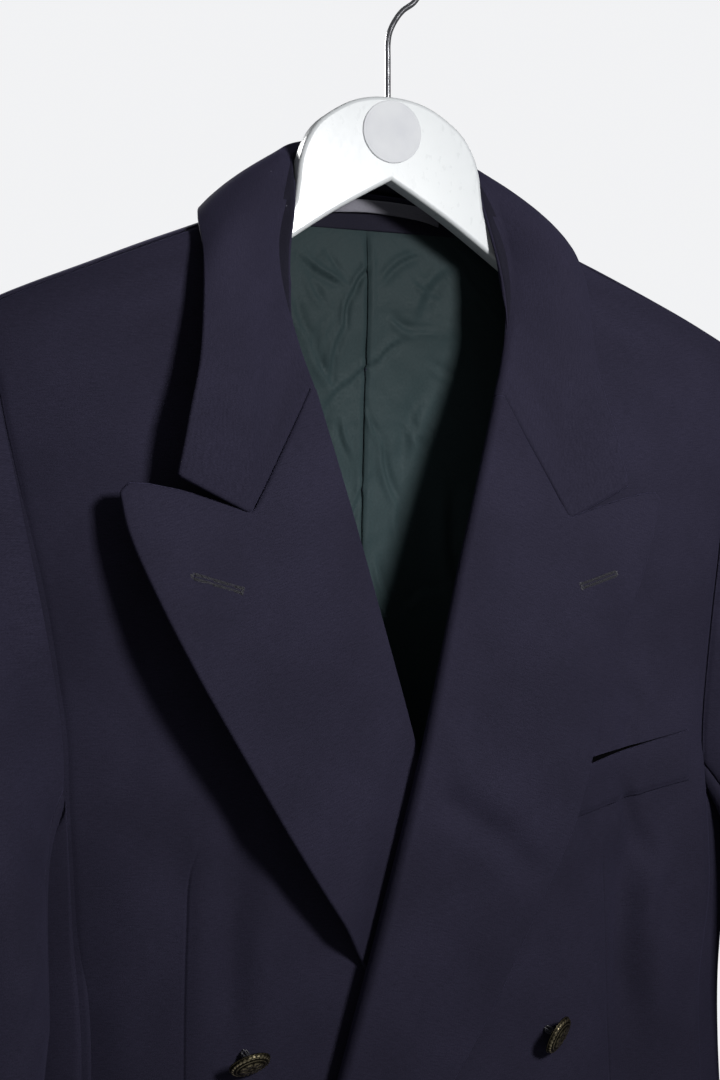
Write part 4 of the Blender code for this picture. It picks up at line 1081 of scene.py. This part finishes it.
# Each row: x and z of its start, x and z of its end, width, rise towards the front. x is the wearer's left.
LINING_FOLDS = (
    (2, -181, -9, -198, 2.6, -1.8), (-9, -196, -13, -216, 2.6, -2.0), (-12, -213, -20, -247, 2.8, -1.6),
    (-45, -199, -33, -224, 3.2, -1.6), (-33, -222, -19, -248, 3.0, -1.6), (24, -222, 8, -235, 2.6, -1.6),
    (10, -234, -9, -248, 2.6, -1.8), (-7, -246, -23, -262, 2.8, -1.6), (-23, -258, -18, -306, 4.0, -1.6),
    (32, -173, 9, -190, 2.8, -1.6), (-24, -182, -8, -191, 2.4, -1.3), (-42, -175, -10, -190, 3.0, 1.4),
    (13, -280, 25, -318, 3.2, -1.6), (24, -316, 26, -340, 3.0, -1.2), (15, -207, 31, -217, 2.6, -1.4),
    (24, -376, 38, -365, 3.0, -1.6), (36, -366, 54, -363, 3.0, -1.3), (52, -180, 34, -208, 5.0, -1.6),
    (20, -212, 44, -213, 2.4, -0.9), (-50, -260, -34, -300, 5.0, 1.4), (44, -250, 30, -300, 6.0, 1.4),
    (-60, -230, -48, -300, 5.0, -1.4), (-30, -330, -24, -400, 6.0, -1.6), (60, -300, 70, -380, 7.0, -1.6),
    (30, -420, 44, -500, 8.0, 1.5), (-60, -420, -40, -520, 8.0, -1.6), (80, -460, 64, -560, 9.0, -1.6),
    (-90, -330, -70, -420, 8.0, 1.6), (-26, -172, -14, -186, 2.0, -1.2), (-36, -186, -26, -204, 2.2, -1.4),
    (2, -262, 14, -282, 2.0, -1.2), (-14, -268, -6, -290, 2.2, 1.2), (30, -186, 46, -196, 2.0, -1.1),
    (-22, -210, -30, -236, 2.0, 1.2), (40, -232, 56, -240, 2.4, -1.2), (6, -300, -6, -330, 2.6, -1.3),
    (28, -262, 40, -286, 2.4, -1.2), (10, -346, 20, -372, 2.6, -1.2), (-20, -296, -10, -322, 2.4, 1.2),
)


def pulls(a, b, rows):
    """Sharp creases: a narrow valley with a lit ridge along one side of it."""
    height = np.zeros(np.shape(a))
    for a0, b0, a1, b1, width, rise in rows:
        length = np.hypot(a1 - a0, b1 - b0)
        along = ((a - a0) * (a1 - a0) + (b - b0) * (b1 - b0)) / length**2
        bow = 0.08 * length * np.sin(pi * np.clip(along, 0, 1))
        across = (((a - a0) * (b1 - b0) - (b - b0) * (a1 - a0)) / length - bow) / (0.62 * width)
        ends = ease(along, -0.15, 0.35) * (1 - ease(along, 0.6, 1.2))
        height += rise * ends * (np.exp(-np.abs(across) ** 1.3) - 0.75 * hump(across - 1.7, 1.1))
    return height


u, v = np.meshgrid(spread(78, 0.5), np.linspace(0, 1, 200) ** 1.35)
first = LINING_GIRTH[0] + (LINING_GIRTH[1] - LINING_GIRTH[0]) * ease(v, 0, 0.2)
girth = first + (2 - HALF_GAP - first) * u
level = LINING_TOP_Z + (LINING_Z - LINING_TOP_Z) * v
place = body_point(girth, level)
from_seam = from_edges(place)["last"]
pattern = flat_of(girth, level)
for side, sign in (("left", 1), ("right", -1)):
    relief = pulls(sign * place[..., 0], place[..., 2], LINING_FOLDS) * 1.5
    relief = relief + waves(1.6 * place[..., 0], 1.3 * place[..., 2], 0.7, 1.9 + sign)
    relief = relief + 0.22 * np.sin(place[..., 2] / 5.1 + np.sin(place[..., 2] / 17)) * np.exp(-from_seam / 9)
    relief = relief - 0.7 * hump(from_seam, 1.2) + 0.45 * hump(from_seam - 3.0, 1.8)
    relief = relief * ease(-level, 170, 184)
    relief = np.clip(relief, -2.4, 2.6)
    lift = -WALL - 2.2 - 3.0 * (1 - u) ** 2 - 0.5 - relief
    sew(side + "_back_lining", raised(girth, level, lift), pattern, 0.4, satin, side == "right",
        flip=True)

# %% Neck facing and hanging loop
LOOP_HALF, LOOP_DEEP = 44, 9.5
FACING_HALF = 64


def loop_top(x):
    return -141.5 - 0.0022 * x**2


u, v = np.meshgrid(spread(120, 0.2), np.linspace(0, 1, 14))
x = FACING_HALF * (2 * u - 1)
top = NAPE_Z - 2.5 - 7.5 * (x / 60) ** 2
girth, level = on_body(x, top + (FACING_Z - top) * v, behind=True)
lift = -WALL - 3.6 - 0.25 * np.sin(x / 9) - 0.5 * ease(v, 0.8, 1.0)
# Painted shade: the facing is the suit's own wool, given the darker undercollar finish to stand for the shade inside
# the neck.
sew("neck_facing", raised(girth, level, lift), np.stack((x, level), -1), 1.0, undercollar_and_shade_wool)
u, v = np.meshgrid(spread(90, 0.3), np.linspace(0, 1, 12))
x = LOOP_HALF * (2 * u - 1)
girth, level = on_body(x, loop_top(x) - LOOP_DEEP * v, behind=True)
sewn = hump(LOOP_HALF - np.abs(x), 5)
lift = -WALL - 5.6 - 1.1 * (1 - sewn) - 0.5 * np.sin(pi * v) - 0.35 * np.sin(x / 6 + 2 * v)
sew("hanging_loop", raised(girth, level, lift), np.stack((x, level), -1), 0.9, tape, rim=0.3)

# %% [markdown]
# ## Sleeves
#
# A tailored sleeve is a bent tube in two parts, set into the armhole with a little fullness at the top and
# hanging slightly forward. One surface is read by turn round the tube and by distance down it; the upper
# and the under sleeve are two stretches of its turns. Short creases gather in front of the armhole and at
# the bend of the elbow.

# %% Sleeves
SLEEVE = {"z": (-575, -640, -720, -790, CUFF_Z), "x": (257, 262, 267, 270, 271), "y": (-27, -30, -36, -42, -47),
          "long": (75, 72, 66, 60, 55), "short": (43, 42, 40, 38, 36)}
SLEEVE_TURN = radians(30)
TURN_MM = 1.05
# Each row: turn and z of its start, turn and z of its end, width in mm, rise.
SLEEVE_FOLDS = (
    (114, -506, 92, -498, 5, -2.2), (112, -494, 96, -482, 6, 1.2), (106, -535, 84, -560, 9, 1.4),
    (100, -556, 66, -590, 9, -1.6), (84, -410, 70, -500, 13, 1.3), (62, -470, 52, -560, 12, -1.2),
    (30, -640, 62, -690, 12, -1.5), (98, -620, 74, -672, 10, 1.3), (104, -660, 84, -700, 9, -1.5),
    (-40, -560, -92, -600, 12, -1.6), (-50, -620, -96, -660, 12, 1.6), (-70, -690, -30, -740, 11, -1.3),
    (20, -740, 40, -810, 11, 1.0), (150, -570, 190, -600, 11, -1.6), (160, -640, 210, -620, 12, 1.5),
)


def sleeve_ring(z, turn):
    size = {name: smooth(z, SLEEVE["z"], SLEEVE[name]) for name in ("x", "y", "long", "short")}
    angle = np.radians(turn)
    out, ahead = np.cos(angle) * size["short"], np.sin(angle) * size["long"]
    c, s = cos(SLEEVE_TURN), sin(SLEEVE_TURN)
    return np.stack((size["x"] + out * c - ahead * s, size["y"] - out * s - ahead * c, z + 0 * angle), axis=-1)


def sleeve_face(turn, down):
    girth, level = armhole(turn)
    start = body_point(girth, level)
    under = (1 - np.cos(np.radians(turn))) / 2
    out = unit(np.stack((1.0 - 0.45 * under, -0.30 * np.sin(np.radians(turn)), -0.12 - 0.85 * under), axis=-1))
    oval = sleeve_ring(np.full(turn.shape, SLEEVE["z"][0], float), turn)
    drop = (start[..., 2] - oval[..., 2])[..., None]
    t = np.clip(down, 0, 1)[..., None]
    start = start + out * SEAM
    p1 = start + out * (12 + 0.12 * drop)
    p2 = oval + np.array((0, 0, 1)) * (0.15 * drop + 0.42 * np.clip(drop - 60, 0, None))
    top = start * (1 - t) ** 3 + 3 * p1 * t * (1 - t) ** 2 + 3 * p2 * t**2 * (1 - t) + oval * t**3
    z = SLEEVE["z"][0] + (CUFF_Z - SLEEVE["z"][0]) * np.clip(down - 1, 0, 1)
    return np.where((down > 1)[..., None], sleeve_ring(z, turn), top)


down = np.concatenate((np.linspace(0, 1, 92) ** 1.25, np.linspace(1, 2, 62)[1:]))
stretches = {"upper_sleeve": (BACK_TURN - 360 + 0.16, FRONT_TURN - 0.16, 78),
             "under_sleeve": (FRONT_TURN + 0.16, BACK_TURN - 0.16, 38)}
for part, (start, stop, count) in stretches.items():
    turn, row = np.meshgrid(start + (stop - start) * spread(count, 0.45), down)
    face = sleeve_face(np.mod(turn, 360), row)
    normal = -unit(np.cross(np.gradient(face, axis=0), np.gradient(face, axis=1)))
    distance = from_edges(face)["top"]
    crown = np.cos(np.radians(turn) / 2) ** 2
    puff = 1.6 * crown * hump(distance - 9, 8)
    for side, seed in (("left", 0.2), ("right", 1.1)):
        relief = folds(turn * TURN_MM, face[..., 2], [(a * TURN_MM, b, c * TURN_MM, d, w, h) for a, b, c, d, w, h in
                                                      SLEEVE_FOLDS])
        relief = relief * (1.0 if side == "right" else 0.8) + waves(turn * TURN_MM, face[..., 2], 0.6, seed)
        relief = relief * ease(distance, 2, 22) + puff + seam_dip(face, ("first", "last", "top"), 1.0, 2.2)
        pattern = np.stack((turn * TURN_MM, face[..., 2]), -1)
        sew(f"{side}_{part}", face + normal * relief[..., None], pattern, WALL, wool, side == "right",
            flip=True)

# %% [markdown]
# ## Tape behind the seams
#
# A tailor lays a narrow tape and the turned-in edges of the cloth behind every seam, so no light comes
# through. Here a thin strip of the same wool follows each seam line on the body, just under its face: down
# the centre back and the side seams, along the shoulders and round the armholes. Widening the panels until
# they overlap would close the gaps too, but their edges would then cut through each other.

# %% Seam tape
TAPE_WIDTH = 10.4
TAPE_WALL = 0.15
TAPE_ACROSS = np.linspace(-TAPE_WIDTH / 2, TAPE_WIDTH / 2, 5)


def seam_tape(name, girth, level, mirror=False):
    face = raised(girth, level, np.full(girth.shape, -WALL - 0.08))
    made = shell(name, face, flat_of(girth, level), TAPE_WALL, wool, mirror)
    enter(made)


def beside_line(girth, level, wide=1.0):
    """The tape's places on both sides of a seam line."""
    run = unit(flat_of(np.gradient(girth), np.gradient(level)))
    beside = TAPE_ACROSS * wide
    return girth[:, None] + run[:, 1:] * beside / HALF_GIRTH, level[:, None] - run[:, :1] * beside


seam_share = np.linspace(0, 0.995, 60)
seam_lines = {"shoulder": beside_line(np.ones(24), np.linspace(NECK_Z - 3, SHOULDER_Z + 1, 24), 2.2),
              "armhole": beside_line(*armhole(np.linspace(2, 358, 120))),
              "front_seam": beside_line(*side_seam(FRONT_TURN, FRONT_SEAM_T, seam_share)),
              "back_seam": beside_line(*side_seam(BACK_TURN, BACK_SEAM_T, seam_share))}
for side in ("left", "right"):
    for seam, (girth, level) in seam_lines.items():
        seam_tape(f"{side}_{seam}_tape", girth, level, side == "right")
x, z = np.meshgrid(TAPE_ACROSS, np.linspace(NAPE_Z - 2, HEM_Z + 1, 60))
girth, level = on_body(x, z, behind=True)
seam_tape("centre_back_tape", girth, level)

# %% [markdown]
# ## Breast welt and pocket flaps
#
# The welt is a slanting band that finishes the breast pocket: sewn down at its foot and ends, and open along
# its top, where it gapes a little near the lapel. A thin strip of black cloth just above it is painted shadow in
# the mouth. The flaps cover the hip pockets and hang free from a sewn top edge. All of them lie on the fronts, so
# they are made from the body's own places, moved out.

# %% Pockets
WELT = ((78, -468.5), (174, -447.5), (78, -494.5), (172, -475))
MOUTH_SHADOW_BELOW = 9.0
FLAP_GIRTH = (0.44, 0.96)
FLAP_LEVEL = (-716, -771)
u, v = np.meshgrid(spread(90, 0.6), spread(30, 0.6))
corners = np.array(WELT, float)
u1, v1 = u[..., None], v[..., None]
place = mix(mix(corners[0], corners[1], u1), mix(corners[2], corners[3], u1), v1)
x, z = place[..., 0], place[..., 1]
girth, level = on_body(x, z)
relief = front_relief("left", x, z)
edges = from_edges(np.concatenate((place, 0 * u1), -1))
held = np.exp(-((edges["last"] / 2.2) ** 2)) + np.exp(-((edges["foot"] / 2.0) ** 2))
gape = 2.6 * hump(x - 92, 24) * (1 - v) ** 1.5
lift = SEAM + 2.5 + left_rise(x, z) + relief * 0.9 + gape - 1.1 * np.clip(held, 0, 1) * (1 - 0.4 * (1 - v))
stitch_row = -0.35 * hump(edges["last"] - 4.2, 0.7)
pattern = np.stack((x + 7, z * 1.02), -1)
sew("breast_welt", raised(girth, level, lift + stitch_row), pattern, 1.9, wool, rim=0.4)
# Painted shadow: a thin strip of black cloth on the front, just above the welt's top, stands for the shade in the
# pocket's mouth.
u, v = np.meshgrid(spread(60, 0.4), np.linspace(0, 1, 6))
mouth_top = mix(corners[0], corners[1], u[..., None])
x = mouth_top[..., 0]
z = mouth_top[..., 1] - MOUTH_SHADOW_BELOW + (MOUTH_SHADOW_BELOW + 0.5 + 4.4 * (1 - u) ** 1.6) * (1 - v)
girth, level = on_body(x, z)
lift = left_rise(x, z) + front_relief("left", x, z) * 0.9 + 0.75
mouth = shell("breast_pocket_mouth_shadow", raised(girth, level, lift), np.stack((x, z), -1), 0.3, painted_mouth_shadow)
enter(mouth)
print("pocket mouth shows", round(float(z[0, 0] - z[-1, 0]), 1), "mm high at the lapel")
u, v = np.meshgrid(spread(100, 0.6), spread(36, 0.6))
girth = FLAP_GIRTH[0] + (FLAP_GIRTH[1] - FLAP_GIRTH[0]) * u
corner = 5.0 * (np.exp(-u / 0.06) + np.exp(-(1 - u) / 0.06))
level = FLAP_LEVEL[0] + (FLAP_LEVEL[1] - FLAP_LEVEL[0]) * v - 6 * u + corner * v**6
place = body_point(girth, level)
for side, seed in (("left", 0.5), ("right", 2.2)):
    x, z = place[..., 0], place[..., 2]
    rise = left_rise(x, z) if side == "left" else 0.0
    lift = SEAM + 3.0 + 1.0 * v + 0.4 * v * np.sin(x / 17 + seed) - 0.8 * hump(v, 0.05) + rise
    pattern = np.stack((girth * HALF_GIRTH + 5, level), -1)
    sew(side + "_pocket_flap", raised(girth, level, lift), pattern, 2.0, wool, side == "right", rim=0.42)

# %% [markdown]
# ## Stitches
#
# A stitch is a short thread that rises from one hole and sinks into the next, so each is a small arched
# capsule. One helper lays a capsule at every place in a list, pointing along a direction, and joins them
# into one mesh. Painting stitches in the finish would be lighter, but these catch the light on their own.

# %% Thread on the cloth
def lay_stitches(name, places, along, normals, length, thick, finish, on_piece):
    sides = np.radians(np.arange(0, 360, 60))
    stations = {"at": np.array((-0.5, -0.38, 0.0, 0.38, 0.5)), "thick": np.array((0.25, 0.9, 1.0, 0.9, 0.25)),
                "rise": np.array((-0.4, 0.2, 0.55, 0.2, -0.4))}
    along = unit(along)
    normals = unit(normals - along * (along * normals).sum(1, keepdims=True))
    beside = np.cross(along, normals)
    points = []
    for at, wide, rise in zip(*stations.values()):
        for side in sides:
            points.append(places + along * at * length
                          + (beside * cos(side) + normals * sin(side)) * wide * thick / 2 + normals * rise * thick)
    count, ring = len(places), len(sides)
    points = np.stack(points, 1)
    base = np.arange(count)[:, None, None] * points.shape[1]
    k, s = np.meshgrid(np.arange(ring), np.arange(len(stations["at"]) - 1))
    a, b = s * ring + k, s * ring + (k + 1) % ring
    quads = np.stack((a, b, b + ring, a + ring), -1).reshape(-1, 4)
    faces = (base + quads[None]).reshape(-1, 4)
    local = np.stack((np.tile(np.repeat(stations["at"] * length, ring), count),
                      np.tile(np.tile(sides * thick / 2, len(stations["at"])), count)), -1)
    made = mesh_of(name, points.reshape(-1, 3), faces, finish, local)
    enter(made)
    print(name, count, "stitches on", on_piece)


def on_lapel(side, x, z):
    """Points and normals of a lapel's face over these x and z."""
    u, v = np.meshgrid(np.linspace(0.3, 0.98, 60), np.linspace(0.02, 0.4, 60))
    gx, gz = lapel_outline(side, u, v)
    lift = lapel_lift(side, u, v) + folds(gx, gz, LAPEL_FOLDS[side]) + waves(gx, gz, 0.3, 3.1)
    nearest = [np.argmin((gx - a) ** 2 + (gz - b) ** 2) for a, b in zip(x, z)]
    girth, level = on_body(x - 0.2, z - 0.2)
    return raised(girth, level, lift.ravel()[nearest]), body_normal(girth, level)


# %% Lapel buttonholes
HOLES = {"left": {"x": (98, 121.5), "z": (-364.5, -357.5)}, "right": {"x": (103, 128.5), "z": (-367, -360)}}
for side, hole in HOLES.items():
    ends = np.array((hole["x"], hole["z"]), float).T
    run = unit(ends[1] - ends[0])
    beside = np.array((-run[1], run[0]))
    along = [ends[0] + (ends[1] - ends[0]) * share for share in np.linspace(0, 1, 42)]
    place = [spot + beside * edge * 1.15 for edge in (-1, 1) for spot in along]
    way = [beside] * len(place)
    place += [ends[0] - run * 0.8 + beside * 2.0 * share for share in np.linspace(-1, 1, 7)]
    place += [ends[1] + run * 0.6 + beside * 1.5 * share for share in np.linspace(-0.7, 0.7, 5)]
    way = np.array(way + [run] * (len(place) - len(way)))
    place = np.array(place)
    spot, normal = on_lapel(side, place[:, 0], place[:, 1])
    ahead = np.stack((way[:, 0], 0 * way[:, 0], way[:, 1]), -1)
    flip = np.array((-1, 1, 1)) if side == "right" else 1
    lay_stitches(side + "_lapel_buttonhole", spot * flip, ahead * flip, normal * flip, 1.9, 0.52, thread,
                 side + " lapel")

# %% Padding stitches on the stand and the loop's ends
places, ways, faces_out = [], [], []
for share in (0.30, 0.55, 0.80):
    line = stand_grid(41)[:, int(share * 40)]
    reach = run_along(line)
    middle = reach[-1] / 2
    at = np.arange(middle - 105, middle + 105, 4.2)
    spot = np.stack([np.interp(at, reach, line[:, k]) for k in range(3)], 1)
    way = np.gradient(spot, axis=0)
    places.append(spot)
    ways.append(way)
    faces_out.append(np.cross(way, np.array((0, 0, 1.0))) * -1)
normals = np.concatenate(faces_out)
spots = np.concatenate(places)
normals *= np.sign(-(normals * spots * np.array((1, 1, 0))).sum(1, keepdims=True))
lay_stitches("stand_stitches", spots, np.concatenate(ways), normals, 3.0, 0.4, thread, "stand")
places = []
for x_end in (-41.5, 41.5):
    for k in np.linspace(0.08, 0.92, 8):
        places.append((x_end, loop_top(x_end) - 0.5 - LOOP_DEEP * k))
places = np.array(places)
girth, level = on_body(places[:, 0], places[:, 1], behind=True)
spot = raised(girth, level, np.full(len(places), -WALL - 5.75))
lay_stitches("loop_stitches", spot, np.tile((0, 0, 1.0), (len(spot), 1)), -body_normal(girth, level), 1.3, 0.45,
             navy_thread, "loop")

# %% [markdown]
# ## Shank buttons
#
# The buttons are domed and cast, with a rope border and a small rosette in relief, and they hang from a loop
# at the back. The face is a grid of rings and turns whose height is a formula: a dome, a rope made by a wave
# that runs round the border, and eight petals. How deep each point lies is stored on the mesh for the brass
# finish to read. The loop is a bent wire, and a few turns of thread hold it to the cloth.

# %% Button face and its relief
def button_mesh(name, dia, rings, turns):
    r = dia / 2
    rho = np.concatenate((np.linspace(0.02, 0.82, rings), np.linspace(0.84, 1.0, rings // 2)))
    theta = np.radians(np.arange(turns) * 360 / turns)
    p, t = np.meshgrid(rho, theta, indexing="ij")
    dome = dia * (0.35 - 0.105 * p**2.6)
    size = dia / 22
    petals = 0.42 * np.abs(np.cos(4 * t)) ** 0.6 * np.clip(np.sin(pi * (p - 0.14) / 0.50), 0, 1) * (p < 0.64)
    boss = 0.40 * hump(p, 0.11)
    bead = 0.30 * hump(p - 0.72, 0.03)
    rope = 0.62 * hump(p - 0.90, 0.055) * (0.62 + 0.38 * np.sin(26 * t + 22 * (p - 0.9)))
    relief = petals + boss + bead + rope
    high = dome + relief * size - 0.18 * dia * ease(p, 0.95, 1.0) * 0.35
    hollow = 1 - np.clip(relief / 0.42, 0, 1)
    back = ((1.0, 0.215), (0.93, 0.185), (0.6, 0.165), (0.28, 0.155), (0.02, 0.155))
    radius = np.concatenate((p, np.array([np.full(turns, b[0]) for b in back])))
    height = np.concatenate((high, np.array([np.full(turns, b[1] * dia) for b in back])))
    hollow = np.concatenate((hollow, np.full((len(back), turns), 0.55)))
    angle = np.broadcast_to(theta, radius.shape)
    points = np.stack((radius * r * np.cos(angle), radius * r * np.sin(angle), height), -1)
    rows, columns = radius.shape
    ids = np.arange(rows * columns).reshape(rows, columns)
    after = np.roll(ids, -1, axis=1)
    quads = np.stack((ids[:-1], ids[1:], after[1:], after[:-1]), -1).reshape(-1, 4)
    loop_points, loop_faces = bent_loop(0.105 * dia, 0.032 * dia, 0.155 * dia)
    points = np.concatenate((points.reshape(-1, 3), loop_points))
    made = mesh_of(name, points, np.concatenate((quads, loop_faces + rows * columns)), brass)
    value = np.concatenate((hollow.ravel(), np.full(len(loop_points), 0.35)))
    made.data.attributes.new("hollow", "FLOAT", "POINT").data.foreach_set("value", value)
    return made


def bent_loop(radius, thick, top):
    around, side = np.meshgrid(np.linspace(0, pi, 16), np.radians(np.arange(0, 360, 45)), indexing="ij")
    reach = radius + thick * np.cos(side)
    points = np.stack((reach * np.cos(around), thick * np.sin(side), top - reach * np.sin(around)), -1)
    ids = np.arange(around.size).reshape(around.shape)
    after = np.roll(ids, -1, axis=1)
    quads = np.stack((ids[:-1], after[:-1], after[1:], ids[1:]), -1).reshape(-1, 4)
    return points.reshape(-1, 3), quads


trial = button_mesh("trial", 22.0, 40, 104)
heights = [1000 * v.co.z for v in trial.data.vertices]
print("front button", len(trial.data.polygons), "faces,", round(max(heights) - min(heights), 2), "mm deep")
bpy.data.objects.remove(trial)

# %% Front and cuff buttons
BUTTON_DIA = 22.0
CUFF_BUTTON_DIA = 15.0
FRONT_BUTTONS = {
    "left_top_button": ("left", 72.0, -605.0, (0.75, 0.0, -0.60), 4.8),
    "right_top_button": ("right", 97.0, -604.0, (0.25, 0.0, -1.25), 7.4),
    "left_closing_button": ("left", 58.0, -728.0, (0.0, 0.0, -0.25), 1.4),
    "right_closing_button": ("left", -58.0, -728.0, (0.0, 0.0, -0.25), 1.4),
}
CUFF_BUTTON_Z = (-770.0, -789.0, -808.0)


def hang_button(node, dia, spot, normal, lean=(0.0, 0.0, 0.0), stand=1.0):
    fine = dia > 20
    made = button_mesh(node + "_brass", dia, 40 if fine else 26, 104 if fine else 78)
    axis = unit(np.array(normal) + np.array(lean))
    made.rotation_mode = "QUATERNION"
    made.rotation_quaternion = Vector((0, 0, 1)).rotation_difference(Vector(axis))
    made.location = Vector((np.array(spot) + np.array(normal) * stand) * MM)
    enter(made, node)
    back = np.array(spot) + np.array(normal) * stand + axis * 0.05 * dia
    root = np.array(spot) - np.array(normal) * 0.3
    way = back - root
    turns = np.radians(np.arange(0, 360, 60))
    side = unit(np.cross(way, (0.3, 0.2, 1.0)))
    other = np.cross(unit(way), side)
    threads = [(root + back) / 2 + (side * cos(a) + other * sin(a)) * 0.055 * dia for a in turns]
    lay_stitches(node + "_thread", np.array(threads), np.tile(way, (6, 1)), np.array(threads) - (root + back) / 2,
                 float(np.linalg.norm(way)) * 1.1, 0.05 * dia, navy_thread, node)


for name, (side, x, z, lean, stand) in FRONT_BUTTONS.items():
    girth, level = on_body(x, z)
    normal = body_normal(girth, level)
    spot = body_point(girth, level) + normal * (left_rise(x, z) if side == "left" else 0.0)
    if side == "right":
        spot, normal = spot * (-1, 1, 1), normal * (-1, 1, 1)
    hang_button(name, BUTTON_DIA, spot, normal, lean, stand)
turn = BACK_TURN + 14.0
for i, z in enumerate(CUFF_BUTTON_Z):
    spot = sleeve_ring(np.array(z), np.array(turn))
    ahead = sleeve_ring(np.array(z), np.array(turn + 1.0)) - sleeve_ring(np.array(z), np.array(turn - 1.0))
    normal = -unit(np.cross(np.array((0, 0, 1.0)), ahead))
    if normal @ (spot - np.array((SLEEVE["x"][3], SLEEVE["y"][3], z))) < 0:
        normal = -normal
    for side, flip in (("left", (1, 1, 1)), ("right", (-1, 1, 1))):
        hang_button(f"{side}_cuff_button_{i + 1}", CUFF_BUTTON_DIA, spot * flip, normal * flip)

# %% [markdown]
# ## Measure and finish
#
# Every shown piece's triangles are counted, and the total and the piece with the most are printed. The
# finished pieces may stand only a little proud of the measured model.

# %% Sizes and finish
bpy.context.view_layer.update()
faces = {o.name: sum(len(p.vertices) - 2 for p in o.data.polygons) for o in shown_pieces() if o.type == "MESH"}
print("triangles", sum(faces.values()), "most", max(faces.items(), key=lambda item: item[1]))
